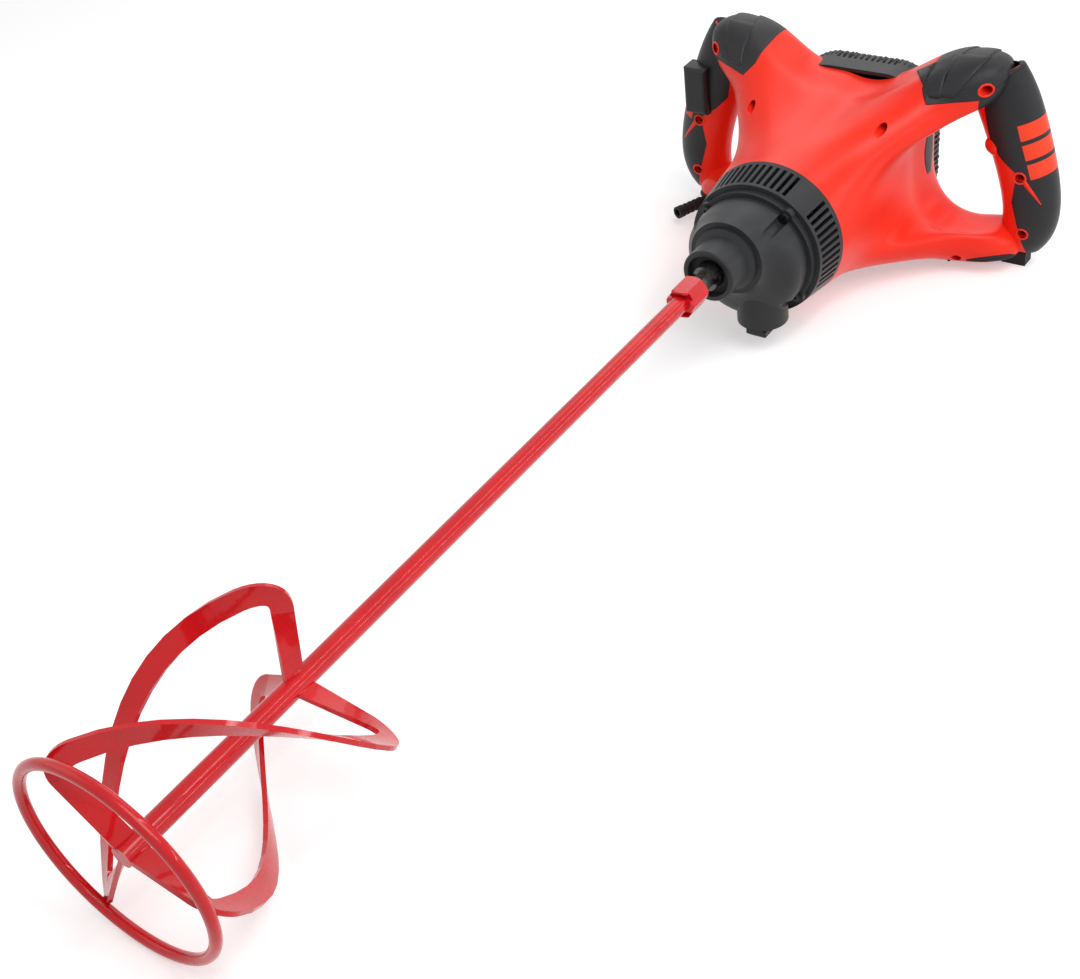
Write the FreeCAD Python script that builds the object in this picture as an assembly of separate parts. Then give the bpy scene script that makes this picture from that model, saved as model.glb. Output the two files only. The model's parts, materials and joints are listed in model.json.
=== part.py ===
import FreeCAD, Part
import math
import os

V = FreeCAD.Vector

# A two handled mixing drill with its paddle fitted, lying on its rest pads and on the paddle's ring.
# It is drawn with the spindle along +Z from the paddle's ring to the rear cover, +X to the right
# handle and +Y down to the rest pads, in millimetres, and laid down as a whole at the end.

# General fits
OVERRUN = 5.0
FUSE_TOLERANCE = 0.01
REACH_OF_CUTS = 400.0
RUNNING_CLEARANCE = 0.05
SEAT_CLEARANCE = 0.1
MOVING_CLEARANCE = 0.4

# Paddle
RING_DIAMETER = 140.0
RING_TUBE = 7.0
ROD_DIAMETER = 13.5
ROD_FOOT = 4.0
PADDLE_LENGTH = 566.0
BLADE_COUNT = 3
BLADE_WIDTH = 13.0
BLADE_THICKNESS = 3.0
BLADE_HUB_HEIGHT = 141.0
BLADE_TIP_RISE = 12.0
BLADE_FOOT_HEIGHT = 4.5
BLADE_FOOT_RISE = 6.0
BLADE_TIP_BEND = 17.0
BLADE_FOOT_BEND = 10.0
BLADE_RING_INSET = 0.5
BLADE_ROOT_SINK = 2.0
BLADE_START_DEG = -113.0
BLADE_TWIST_DEG = 140.0
BLADE_SECTIONS = 12
NUT_LENGTH = 24.0
NUT_FLATS = 21.0
NUT_CHAMFER = 2.0
NUT_SLOT_WIDTH = 5.0
NUT_SLOT_DEPTH = 4.0
STUD_RADIUS = 7.0
STUD_DEPTH_IN_NUT = 16.0
STUD_DEPTH_IN_SPINDLE = 20.0
STUD_FLATS = 12.0
STUD_FLATS_LENGTH = 9.0

# Nose and gear housing
NOSE_GAP = 18.0
NOSE_RADIUS = 21.0
NOSE_LENGTH = 26.0
NOSE_RIM_CHAMFER = 1.0
NOSE_BORE = 17.0
NOSE_THROAT = 13.0
COLLAR_RADIUS = 25.5
COLLAR_LENGTH = 5.0
CASE_FRONT_RADIUS = 30.0
CASE_RADIUS = 47.5
CASE_FLARE_LENGTH = 27.0
CASE_DRUM_LENGTH = 12.0
CASE_FLARE_STEPS = 4
CASE_BORE = 41.0
FLANGE_RADIUS = 51.0
FLANGE_THICKNESS = 6.0
FLANGE_LUG_RADIUS = 6.0
FLANGE_SCREW_CIRCLE = 47.5
FLANGE_SCREW_COUNT = 4
FLANGE_SCREW_START_DEG = 38.0
FLANGE_SCREW_RADIUS = 2.0
FLANGE_SCREW_HEAD_RADIUS = 3.8
FLANGE_SCREW_HEAD_HEIGHT = 3.0
FLANGE_SCREW_LENGTH = 15.0
FLANGE_SCREW_WELL = 4.4
HEX_SOCKET_FLATS = 3.0
HEX_SOCKET_DEPTH = 1.8

# Gears, with the motor axis below the spindle axis
MOTOR_OFFSET = 17.0
MOTOR_PINION_TEETH = 9
LAY_GEAR_TEETH = 35
FIRST_MODULE = 1.0
FIRST_GEAR_WIDTH = 9.0
LAY_PINION_TEETH = 10
SPINDLE_GEAR_TEETH = 30
SECOND_MODULE = 1.25
SECOND_GEAR_WIDTH = 13.0
PRESSURE_ANGLE_DEG = 20.0
PINION_SHIFT_SHARE = 0.5
ADDENDUM_SHARE = 0.8
DEDENDUM_SHARE = 1.25
BACKLASH = 0.14
FLANK_POINTS = 6
GEAR_GAP = 3.0
GEAR_RUN_ROOM = 4.0

# Spindle, layshaft and their bearings
SPINDLE_RADIUS = 10.0
SPINDLE_STICK_OUT = 4.0
SPINDLE_SLOT_WIDTH = 5.0
SPINDLE_SLOT_DEPTH = 6.0
SPINDLE_COLLAR_RADIUS = 12.0
SPINDLE_COLLAR_LENGTH = 3.0
SPINDLE_GEAR_SEAT = 8.0
SPINDLE_TAIL_RADIUS = 5.0
SEAL_DEPTH = 5.0
SEAL_LENGTH = 8.0
SEAL_LIP = 1.2
CIRCLIP_THICKNESS = 1.5
CIRCLIP_GROOVE = 1.0
CIRCLIP_WIDTH = 3.5
CIRCLIP_OPENING = 8.0
SPINDLE_BEARING_LENGTH = 9.0
TAIL_BEARING_RADIUS = 8.5
TAIL_BEARING_LENGTH = 5.0
LAY_END_RADIUS = 3.5
LAY_BODY_RADIUS = 6.0
LAY_BEARING_RADIUS = 6.5
LAY_BEARING_LENGTH = 5.0
BEARING_GROOVE_WIDTH = 0.8
BEARING_GROOVE_DEPTH = 0.6

# Bearing plate
PLATE_RADIUS = 43.0
PLATE_THICKNESS = 12.0
PLATE_SINK = 4.0

# Motor
SHAFT_RADIUS = 5.0
SHAFT_END_RADIUS = 4.0
PINION_TIP_ROOM = 1.0
MOTOR_BEARING_RADIUS = 11.0
MOTOR_BEARING_LENGTH = 6.0
FAN_RADIUS = 44.0
FAN_HUB_RADIUS = 11.0
FAN_DISC = 2.5
FAN_LENGTH = 16.0
FAN_BLADES = 11
FAN_BLADE_THICKNESS = 2.0
FAN_GAP = 4.0
STATOR_RADIUS = 48.0
STATOR_LENGTH = 66.0
STATOR_YOKE = 8.0
POLE_WIDTH = 44.0
AIR_GAP = 0.8
ARMATURE_RADIUS = 25.5
ARMATURE_SLOTS = 12
ARMATURE_SLOT_WIDTH = 3.0
ARMATURE_SLOT_DEPTH = 7.0
WINDING_OVERHANG = 9.0
WINDING_GAP = 1.0
COIL_OVERHANG = 8.0
COIL_WIDTH = 9.0
COIL_GAP = 1.5
FAN_TO_STATOR = 15.0
COMMUTATOR_RADIUS = 14.0
COMMUTATOR_LENGTH = 20.0
COMMUTATOR_BARS = 24
COMMUTATOR_SLIT = 0.6
COMMUTATOR_SLIT_DEPTH = 1.2
COMMUTATOR_GAP = 3.0
BRUSH_WIDTH = 7.0
BRUSH_HEIGHT = 12.0
BRUSH_LENGTH = 20.0
BRUSH_RUN_GAP = 0.15
HOLDER_WALL = 2.0
HOLDER_GAP = 2.5
REAR_BEARING_GAP = 10.0

# Motor barrel with its ring of cooling slots
BARREL_WALL = 3.0
VENT_FRONT_RADIUS = 55.0
VENT_REAR_RADIUS = 59.0
VENT_LENGTH = 31.0
VENT_RIM = 4.0
VENT_FRONT_RIM = 3.0
VENT_FLOOR_RADIUS = 50.0
VENT_WALL = 5.0
VENT_GROUPS = 4
VENT_SLOTS_PER_GROUP = 12
VENT_PITCH_DEG = 5.8
VENT_SLOT_WIDTH = 3.0
SPIGOT_LENGTH = 12.0
SPIGOT_GAP = 1.0
SPIDER_ARMS = 4
SPIDER_ARM_WIDTH = 9.0
SPIDER_THICKNESS = 5.0
SPIDER_BOSS_WALL = 3.0

# Housing shells with the two handles
HOUSING_WALL = 3.0
FLARE_LENGTH = 140.0
FLARE_EXPONENT = 1.9
FLARE_SECTIONS = 6
FRONT_HALF_DEPTH = 17.0
REAR_HALF_DEPTH = 12.0
REAR_ROUND = 7.0
REAR_ROUND_START_SHARE = 0.25
REAR_STEP = 6.0
HANDLE_REACH = 150.0
# Right half of the housing's outline at the handles, from the top centre round to the bottom centre
OUTLINE_SHARES = (
    (0.0, -0.325), (0.24, -0.35), (0.47, -0.49), (0.67, -0.555), (0.84, -0.50), (0.82, -0.35),
    (0.63, -0.275), (0.46, -0.16), (0.43, 0.05), (0.45, 0.25), (0.54, 0.38), (0.72, 0.42),
    (0.92, 0.42), (0.98, 0.53), (0.87, 0.605), (0.62, 0.605), (0.30, 0.56), (0.0, 0.52),
)
# Centre line of the right grip from the upper to the lower corner
GRIP_LINE_SHARES = ((0.75, -0.43), (0.865, -0.20), (0.95, 0.05), (1.0, 0.30), (0.95, 0.53))
GRIP_HALF_WIDTHS = (25.0, 25.0, 24.0, 23.0, 18.0)
GRIP_HALF_DEPTHS = (14.5, 20.0, 20.0, 19.5, 14.5)
GRIP_SECTION_POINTS = 16

# Soft grips, stripes and rest pads
GRIP_SKIN = 1.6
CAP_EDGE_SHARES = (
    (0.47, -0.80), (0.455, -0.56), (0.48, -0.43), (0.53, -0.375), (0.76, -0.375), (0.80, -0.41),
    (1.03, -0.59), (1.03, -0.80),
)
OUTER_GRIP_SHARES = (
    (0.76, -0.375), (0.80, -0.41), (1.03, -0.59), (1.30, -0.59), (1.30, 0.72), (1.05, 0.72),
    (1.02, 0.54), (0.93, 0.23), (0.95, 0.055), (0.855, -0.01), (0.785, -0.08), (0.745, -0.27),
)
STRIPE_COUNT = 3
STRIPE_DEPTH = 1.0
STRIPE_HEIGHT = 13.0
STRIPE_PITCH = 16.5
STRIPE_REACH = 60.0
STRIPE_START_SHARES = (0.93, -0.21)
STRIPE_TILT_DEG = -18.0
PAD_COUNT = 3
PAD_LENGTH = 20.0
PAD_PITCH = 23.0
PAD_DEPTH = 14.0
PAD_HEIGHT = 12.0
PAD_FIRST_X = 85.0
PAD_DROP = 98.0
PAD_GROOVE = 2.0

# Rear cover
COVER_HALF_WIDTH = 62.0
COVER_TOP = 54.0
COVER_BOTTOM = 74.0
COVER_CORNER = 38.0
COVER_FRONT_DEPTH = 10.0
COVER_REAR_DEPTH = 24.0
COVER_WALL = 3.0
COVER_ROUND = 6.0
LOUVRE_PITCH = 5.0
LOUVRE_WIDTH = 2.4
LOUVRE_LENGTH = 16.0
LOUVRE_HALF_COUNT = 5
COVER_BOSS_RADIUS = 6.0

# Housing screws, as places from the spindle axis
BODY_SCREW = (56.3, -45.4)
CAP_SCREW = (117.6, -64.0)
MIDDLE_SCREW = (145.0, 11.6)
LOWER_SCREW = (149.9, 61.8)
FOOT_SCREW = (106.0, 80.0)
SCREW_RADIUS = 2.0
SCREW_HEAD_RADIUS = 3.4
SCREW_HEAD_HEIGHT = 2.6
SCREW_SEAT_DEPTH = 8.0
SCREW_LENGTH = 14.0
SCREW_BOSS_RADIUS = 5.5
SCREW_WELL_RADIUS = 3.7

# Trigger, switch, lock button, speed dial and cord sleeve, all in the left handle
TRIGGER_X = -144.0
TRIGGER_Y = -18.0
TRIGGER_WIDTH = 22.0
TRIGGER_HEIGHT = 42.0
TRIGGER_STICK_OUT = 27.0
TRIGGER_DEPTH = 19.0
TRIGGER_ROUND = 4.0
TRIGGER_TRAVEL = 5.0
SWITCH_WIDTH = 20.0
SWITCH_HEIGHT = 40.0
SWITCH_DEPTH = 9.0
SWITCH_SEAT = 1.0
SWITCH_POST_RADIUS = 4.0
SPRING_RADIUS = 4.0
SPRING_WIRE = 0.8
SPRING_INSET = 0.3
LOCK_X = -136.0
LOCK_Y = -18.0
LOCK_RADIUS = 5.0
LOCK_FLANGE_DEPTH = 13.0
LOCK_LENGTH = 10.0
LOCK_FLANGE_RADIUS = 6.5
LOCK_FLANGE_THICKNESS = 1.5
LOCK_TRAVEL = 2.5
LOCK_SPRING_RADIUS = 3.0
DIAL_X = -148.0
DIAL_Y = 40.0
DIAL_RADIUS = 9.0
DIAL_HEIGHT = 4.4
DIAL_STEM_RADIUS = 3.5
DIAL_NOTCHES = 16
DIAL_NOTCH_RADIUS = 1.0
DIAL_GAP = 0.5
DIAL_SEAT_DEPTH = 18.6
BOARD_WIDTH = 16.0
BOARD_HEIGHT = 28.0
BOARD_THICKNESS = 10.0
BOARD_POST_RADIUS = 2.5
BOARD_POST_SPREAD = 10.0
SLEEVE_BASE = (-128.0, 82.0, -16.0)
SLEEVE_END = (-147.0, 82.0, -63.0)
SLEEVE_RADIUS = 4.4
SLEEVE_BORE = 3.4
SLEEVE_BEAD_RADIUS = 5.5
SLEEVE_BEAD_LENGTH = 6.0
SLEEVE_RIBS = 4
SLEEVE_RIB_START = 24.0
SLEEVE_RIB_WIDTH = 2.0
SLEEVE_RIB_HEIGHT = 0.8
SLEEVE_ROOT = 12.0
CLAMP_LENGTH = 22.0
CLAMP_WIDTH = 9.0
CLAMP_THICKNESS = 6.0
CLAMP_SCREW_SPAN = 16.0
CLAMP_SCREW_RADIUS = 1.5
CLAMP_SCREW_HEAD = 2.3
CLAMP_SCREW_LENGTH = 11.0
CLAMP_BOSS_RADIUS = 3.5

# Gear selector knob under the gear housing
KNOB_X = 12.0
KNOB_STATION = 60.0
KNOB_BOSS_RADIUS = 20.0
KNOB_BOSS_END = 68.0
KNOB_RADIUS = 13.0
KNOB_HEIGHT = 5.0
KNOB_BAR_LENGTH = 24.0
KNOB_BAR_WIDTH = 17.0
KNOB_BAR_HEIGHT = 7.0
KNOB_BAR_TAPER = 2.5
KNOB_STEM_RADIUS = 4.0
KNOB_STEM_LENGTH = 24.0
KNOB_BORE_ROOM = 2.0

# Stations along the spindle axis, counted from the paddle's ring
NUT_START = PADDLE_LENGTH
NUT_END = NUT_START + NUT_LENGTH
NOSE_FRONT = NUT_END + NOSE_GAP
NOSE_END = NOSE_FRONT + NOSE_LENGTH
CASE_START = NOSE_END + COLLAR_LENGTH / 2
CASE_FULL = CASE_START + CASE_FLARE_LENGTH
FLANGE_START = CASE_FULL + CASE_DRUM_LENGTH
FLANGE_END = FLANGE_START + FLANGE_THICKNESS
PLATE_START = FLANGE_END - PLATE_SINK
PLATE_END = PLATE_START + PLATE_THICKNESS
FIRST_GEAR_END = PLATE_START - GEAR_GAP
FIRST_GEAR_START = FIRST_GEAR_END - FIRST_GEAR_WIDTH
SECOND_GEAR_END = FIRST_GEAR_START - GEAR_GAP
SECOND_GEAR_START = SECOND_GEAR_END - SECOND_GEAR_WIDTH
LAY_FRONT_END = SECOND_GEAR_START - GEAR_GAP / 3
LAY_FRONT_START = LAY_FRONT_END - LAY_BEARING_LENGTH
SPINDLE_FRONT = NOSE_FRONT - SPINDLE_STICK_OUT
SPINDLE_BEARING_START = NOSE_END - SPINDLE_BEARING_LENGTH
CIRCLIP_START = SPINDLE_BEARING_START - CIRCLIP_THICKNESS
SEAL_START = NOSE_FRONT + SEAL_DEPTH
MOTOR_BEARING_START = PLATE_END - MOTOR_BEARING_LENGTH
FAN_START = PLATE_END + FAN_GAP
FAN_END = FAN_START + FAN_LENGTH
STATOR_START = FAN_END + FAN_TO_STATOR
STATOR_END = STATOR_START + STATOR_LENGTH
COMMUTATOR_START = STATOR_END + WINDING_OVERHANG + COMMUTATOR_GAP
COMMUTATOR_END = COMMUTATOR_START + COMMUTATOR_LENGTH
REAR_BEARING_START = COMMUTATOR_END + REAR_BEARING_GAP
REAR_BEARING_END = REAR_BEARING_START + MOTOR_BEARING_LENGTH
BARREL_END = REAR_BEARING_END + SPIDER_THICKNESS
VENT_END = FLANGE_END + VENT_LENGTH
SPLIT = VENT_END + FLARE_LENGTH + FRONT_HALF_DEPTH
HOUSING_REAR = SPLIT + REAR_HALF_DEPTH
TOOL_END = SPLIT + COVER_REAR_DEPTH
COVER_START = SPLIT - COVER_FRONT_DEPTH
TRIGGER_FRONT = SPLIT - TRIGGER_STICK_OUT
TRIGGER_BACK = TRIGGER_FRONT + TRIGGER_DEPTH
SWITCH_START = SPLIT + SWITCH_SEAT
SWITCH_END = SWITCH_START + SWITCH_DEPTH
LOCK_INNER = SPLIT + LOCK_FLANGE_DEPTH
DIAL_START = SPLIT + DIAL_SEAT_DEPTH + DIAL_GAP
KNOB_Z = NOSE_FRONT + KNOB_STATION

# Gear sizes and axes
FIRST_SPREAD = FIRST_MODULE * (MOTOR_PINION_TEETH + LAY_GEAR_TEETH) / 2
SECOND_SPREAD = SECOND_MODULE * (LAY_PINION_TEETH + SPINDLE_GEAR_TEETH) / 2
SPINDLE_AXIS = (0.0, 0.0)
MOTOR_AXIS = (0.0, MOTOR_OFFSET)
LAY_Y = (SECOND_SPREAD ** 2 - FIRST_SPREAD ** 2 + MOTOR_OFFSET ** 2) / (2 * MOTOR_OFFSET)
LAY_X = math.sqrt(SECOND_SPREAD ** 2 - LAY_Y ** 2)
LAY_AXIS = (LAY_X, LAY_Y)
FIRST_RATIO = LAY_GEAR_TEETH / MOTOR_PINION_TEETH
SECOND_RATIO = SPINDLE_GEAR_TEETH / LAY_PINION_TEETH
MOTOR_PINION_TIP = FIRST_MODULE * (MOTOR_PINION_TEETH / 2 + ADDENDUM_SHARE + PINION_SHIFT_SHARE)
LAY_PINION_TIP = SECOND_MODULE * (LAY_PINION_TEETH / 2 + ADDENDUM_SHARE + PINION_SHIFT_SHARE)
SPINDLE_GEAR_TIP = SECOND_MODULE * (SPINDLE_GEAR_TEETH / 2 + ADDENDUM_SHARE - PINION_SHIFT_SHARE)

# The lying pose: the floor touches the ring and the ends of the rest pads
RING_CENTRE_RADIUS = (RING_DIAMETER - RING_TUBE) / 2
ROD_RADIUS = ROD_DIAMETER / 2
PAD_STATION = SPLIT
LAY_TILT = math.atan2(PAD_DROP - RING_DIAMETER / 2, PAD_STATION)


def cylinder(radius, start, end, axis=SPINDLE_AXIS):
    return Part.makeCylinder(radius, end - start, V(axis[0], axis[1], start))


def tube(outer, inner, start, end, axis=SPINDLE_AXIS):
    bore = cylinder(inner, start - OVERRUN, end + OVERRUN, axis)
    return cylinder(outer, start, end, axis).cut(bore)


def block(low, high):
    size = V(*high) - V(*low)
    return Part.makeBox(size.x, size.y, size.z, V(*low))


def turned(profile, axis=SPINDLE_AXIS):
    points = [V(axis[0] + radius, axis[1], station) for radius, station in profile]
    face = Part.Face(Part.makePolygon(points + points[:1]))
    return face.revolve(V(axis[0], axis[1], 0), V(0, 0, 1), 360)


def prism(points, start, end):
    corners = [V(x, y, start) for x, y in points]
    face = Part.Face(Part.makePolygon(corners + corners[:1]))
    return face.extrude(V(0, 0, end - start))


def hexagon_prism(flats, start, end, axis=SPINDLE_AXIS):
    radius = flats / math.sqrt(3)
    corners = [polar(radius, 60 * side, axis) for side in range(6)]
    return prism(corners, start, end)


def polar(radius, angle_deg, axis=SPINDLE_AXIS):
    angle = math.radians(angle_deg)
    return (axis[0] + radius * math.cos(angle), axis[1] + radius * math.sin(angle))


def spun(shape, angle_deg, axis=SPINDLE_AXIS):
    turned_shape = shape.copy()
    turned_shape.rotate(V(axis[0], axis[1], 0), V(0, 0, 1), angle_deg)
    return turned_shape


def mirrored(shape):
    return shape.mirror(V(0, 0, 0), V(1, 0, 0))


def joined(shapes):
    return shapes[0].fuse(shapes[1:]).removeSplitter()


def outline_points(shares):
    return [(x * HANDLE_REACH, y * HANDLE_REACH) for x, y in shares]


def floor_drop(station):
    """How far the floor lies below the spindle axis at a station along it."""
    ring_reach = RING_CENTRE_RADIUS + RING_TUBE / 2 / math.cos(LAY_TILT)
    return ring_reach + station * math.tan(LAY_TILT)


# Paddle


def paddle_ring():
    return Part.makeTorus(RING_CENTRE_RADIUS, RING_TUBE / 2)


def paddle_rod():
    return cylinder(ROD_RADIUS, ROD_FOOT, NUT_START)


def blade_path():
    """Centre line of a blade in the radius and height plane: hub arm, tip bend, run, foot bend, spoke."""
    half = BLADE_WIDTH / 2
    outer = RING_DIAMETER / 2 - BLADE_RING_INSET - half
    root = ROD_RADIUS - BLADE_ROOT_SINK
    foot = BLADE_FOOT_HEIGHT
    hub = V(root, BLADE_HUB_HEIGHT, 0)
    tip = V(outer, BLADE_HUB_HEIGHT + BLADE_TIP_RISE, 0)
    heel = V(outer, foot, 0)
    spoke = V(root, foot + BLADE_FOOT_RISE, 0)
    path = [hub]
    for before, corner, after, bend in (
            (hub, tip, heel, BLADE_TIP_BEND), (tip, heel, spoke, BLADE_FOOT_BEND)):
        back = (before - corner).normalize() * bend
        ahead = (after - corner).normalize() * bend
        for step in range(BLADE_SECTIONS):
            share = step / (BLADE_SECTIONS - 1)
            path.append(corner + back * (1 - share) ** 2 + ahead * share ** 2)
        if corner is tip:
            start = corner + ahead
            end = heel + (corner - heel).normalize() * BLADE_FOOT_BEND
            path += [start + (end - start) * (step / BLADE_SECTIONS) for step in range(1, BLADE_SECTIONS)]
    path.append(spoke)
    return path


def blade_frame(point, direction):
    """Place, run and width directions of a blade's strip on the twisted surface."""
    height = BLADE_FOOT_HEIGHT + BLADE_FOOT_RISE
    climb = BLADE_HUB_HEIGHT + BLADE_TIP_RISE - height
    twist = math.radians(BLADE_TWIST_DEG) / climb
    angle = math.radians(BLADE_START_DEG) + twist * (point.y - height)
    outward = V(math.cos(angle), math.sin(angle), 0)
    round_about = V(-math.sin(angle), math.cos(angle), 0)
    upward = V(0, 0, 1) + round_about * (point.x * twist)
    place = outward * point.x + V(0, 0, point.y)
    run = (outward * direction.x + upward * direction.y).normalize()
    across = outward * direction.y - upward * direction.x
    across = (across - run * across.dot(run)).normalize()
    return place, run, across


def paddle_blade(ring, rod):
    path = blade_path()
    wires = []
    for index, point in enumerate(path):
        direction = path[min(index + 1, len(path) - 1)] - path[max(index - 1, 0)]
        place, run, across = blade_frame(point, direction.normalize())
        half_width = across * (BLADE_WIDTH / 2)
        half_thick = run.cross(across).normalize() * (BLADE_THICKNESS / 2)
        corners = [place + half_width + half_thick, place - half_width + half_thick,
                   place - half_width - half_thick, place + half_width - half_thick]
        wires.append(Part.makePolygon(corners + corners[:1]))
    return Part.makeLoft(wires, True, True).cut(ring).cut(rod)


def coupling_nut():
    nut = hexagon_prism(NUT_FLATS, NUT_START, NUT_END)
    corner = NUT_FLATS / math.sqrt(3)
    rounded = turned((
        (0, NUT_START), (corner - NUT_CHAMFER, NUT_START), (corner, NUT_START + NUT_CHAMFER),
        (corner, NUT_END - NUT_CHAMFER), (corner - NUT_CHAMFER, NUT_END), (0, NUT_END)))
    nut = nut.common(rounded)
    slots = [
        block((-corner, side * ROD_RADIUS - NUT_SLOT_WIDTH / 2, NUT_START - OVERRUN),
              (corner, side * ROD_RADIUS + NUT_SLOT_WIDTH / 2, NUT_START + NUT_SLOT_DEPTH))
        for side in (-1, 1)]
    socket = cylinder(STUD_RADIUS, NUT_END - STUD_DEPTH_IN_NUT, NUT_END + OVERRUN)
    return nut.cut(Part.makeCompound(slots)).cut(socket)


def drive_stud():
    stud = cylinder(STUD_RADIUS, NUT_END - STUD_DEPTH_IN_NUT, SPINDLE_FRONT + STUD_DEPTH_IN_SPINDLE)
    start = (NUT_END + SPINDLE_FRONT) / 2 - STUD_FLATS_LENGTH / 2
    flats = [
        block((-STUD_RADIUS - OVERRUN, low, start), (STUD_RADIUS + OVERRUN, high, start + STUD_FLATS_LENGTH))
        for low, high in ((STUD_FLATS / 2, STUD_RADIUS + OVERRUN), (-STUD_RADIUS - OVERRUN, -STUD_FLATS / 2))]
    return stud.cut(Part.makeCompound(flats))


# Gears


def involute(angle):
    return math.tan(angle) - angle


def gear_blank(module, teeth, shift_share, start, end):
    """Involute spur gear with one tooth centred on +X."""
    pitch = module * teeth / 2
    slope = math.radians(PRESSURE_ANGLE_DEG)
    base = pitch * math.cos(slope)
    tip = pitch + module * (ADDENDUM_SHARE + shift_share)
    root = pitch - module * (DEDENDUM_SHARE - shift_share)
    thickness = module * (math.pi / 2 + 2 * shift_share * math.tan(slope)) - BACKLASH
    half_pitch = thickness / (2 * pitch) + involute(slope)
    lowest = max(base, root)
    radii = [lowest + (tip - lowest) * step / (FLANK_POINTS - 1) for step in range(FLANK_POINTS)]
    halves = [half_pitch - involute(math.acos(min(1.0, base / radius))) for radius in radii]

    def at(radius, angle):
        return V(radius * math.cos(angle), radius * math.sin(angle), start)

    edges = []
    for tooth in range(teeth):
        middle = 2 * math.pi * tooth / teeth
        following = 2 * math.pi / teeth + middle
        rise = [at(radius, middle - half) for radius, half in zip(radii, halves)]
        fall = [at(radius, middle + half) for radius, half in reversed(list(zip(radii, halves)))]
        if root < base:
            edges.append(Part.makeLine(at(root, middle - halves[0]), rise[0]))
        edges += [spline_edge(rise), Part.Arc(rise[-1], at(tip, middle), fall[0]).toShape(), spline_edge(fall)]
        if root < base:
            edges.append(Part.makeLine(fall[-1], at(root, middle + halves[0])))
        gap_start = at(lowest if root >= base else root, middle + halves[0])
        gap_end = at(lowest if root >= base else root, following - halves[0])
        bottom = at(min(root, lowest), (middle + following) / 2)
        edges.append(Part.Arc(gap_start, bottom, gap_end).toShape())
    return Part.Face(Part.Wire(edges)).extrude(V(0, 0, end - start))


def spline_edge(points):
    curve = Part.BSplineCurve()
    curve.interpolate(points)
    return curve.toShape()


def placed_gear(blank, axis, tooth_deg):
    blank.rotate(V(0, 0, 0), V(0, 0, 1), tooth_deg)
    blank.translate(V(axis[0], axis[1], 0))
    return blank


def heading_deg(start, end):
    return math.degrees(math.atan2(end[1] - start[1], end[0] - start[0]))


def spindle_gear():
    blank = gear_blank(SECOND_MODULE, SPINDLE_GEAR_TEETH, -PINION_SHIFT_SHARE, SECOND_GEAR_START, SECOND_GEAR_END)
    gear = placed_gear(blank, SPINDLE_AXIS, heading_deg(SPINDLE_AXIS, LAY_AXIS))
    return gear.cut(cylinder(SPINDLE_GEAR_SEAT, SECOND_GEAR_START - OVERRUN, SECOND_GEAR_END + OVERRUN))


def layshaft():
    blank = gear_blank(SECOND_MODULE, LAY_PINION_TEETH, PINION_SHIFT_SHARE, SECOND_GEAR_START, SECOND_GEAR_END)
    towards = heading_deg(LAY_AXIS, SPINDLE_AXIS)
    pinion = placed_gear(blank, LAY_AXIS, towards + 180 / LAY_PINION_TEETH)
    rear_end = PLATE_START + LAY_BEARING_LENGTH
    core = turned((
        (0, LAY_FRONT_START), (LAY_END_RADIUS, LAY_FRONT_START), (LAY_END_RADIUS, SECOND_GEAR_START),
        (LAY_END_RADIUS, SECOND_GEAR_END), (LAY_BODY_RADIUS, SECOND_GEAR_END),
        (LAY_BODY_RADIUS, FIRST_GEAR_END), (LAY_END_RADIUS, FIRST_GEAR_END),
        (LAY_END_RADIUS, rear_end), (0, rear_end)), LAY_AXIS)
    return core.fuse(pinion)


def layshaft_gear():
    blank = gear_blank(FIRST_MODULE, LAY_GEAR_TEETH, -PINION_SHIFT_SHARE, FIRST_GEAR_START, FIRST_GEAR_END)
    gear = placed_gear(blank, LAY_AXIS, heading_deg(LAY_AXIS, MOTOR_AXIS))
    return gear.cut(cylinder(LAY_BODY_RADIUS, FIRST_GEAR_START - OVERRUN, FIRST_GEAR_END + OVERRUN, LAY_AXIS))


def armature_shaft():
    blank = gear_blank(FIRST_MODULE, MOTOR_PINION_TEETH, PINION_SHIFT_SHARE, FIRST_GEAR_START, FIRST_GEAR_END)
    towards = heading_deg(MOTOR_AXIS, LAY_AXIS)
    pinion = placed_gear(blank, MOTOR_AXIS, towards + 180 / MOTOR_PINION_TEETH)
    shaft = turned((
        (0, FIRST_GEAR_END), (SHAFT_END_RADIUS, FIRST_GEAR_END), (SHAFT_END_RADIUS, MOTOR_BEARING_START),
        (SHAFT_RADIUS, MOTOR_BEARING_START), (SHAFT_RADIUS, REAR_BEARING_START),
        (SHAFT_END_RADIUS, REAR_BEARING_START), (SHAFT_END_RADIUS, REAR_BEARING_END),
        (0, REAR_BEARING_END)), MOTOR_AXIS)
    return shaft.fuse(pinion)


# Spindle and bearings


def spindle():
    tail_end = PLATE_START + TAIL_BEARING_LENGTH
    collar_end = NOSE_END + SPINDLE_COLLAR_LENGTH
    shape = turned((
        (0, SPINDLE_FRONT), (SPINDLE_RADIUS, SPINDLE_FRONT), (SPINDLE_RADIUS, NOSE_END),
        (SPINDLE_COLLAR_RADIUS, NOSE_END), (SPINDLE_COLLAR_RADIUS, collar_end),
        (SPINDLE_GEAR_SEAT, collar_end), (SPINDLE_GEAR_SEAT, SECOND_GEAR_END),
        (SPINDLE_TAIL_RADIUS, SECOND_GEAR_END), (SPINDLE_TAIL_RADIUS, tail_end), (0, tail_end)))
    socket = cylinder(STUD_RADIUS, SPINDLE_FRONT - OVERRUN, SPINDLE_FRONT + STUD_DEPTH_IN_SPINDLE)
    half = SPINDLE_SLOT_WIDTH / 2
    slot = block((-SPINDLE_RADIUS - OVERRUN, -half, SPINDLE_FRONT - OVERRUN),
                 (SPINDLE_RADIUS + OVERRUN, half, SPINDLE_FRONT + SPINDLE_SLOT_DEPTH))
    return shape.cut(socket).cut(slot)


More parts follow.
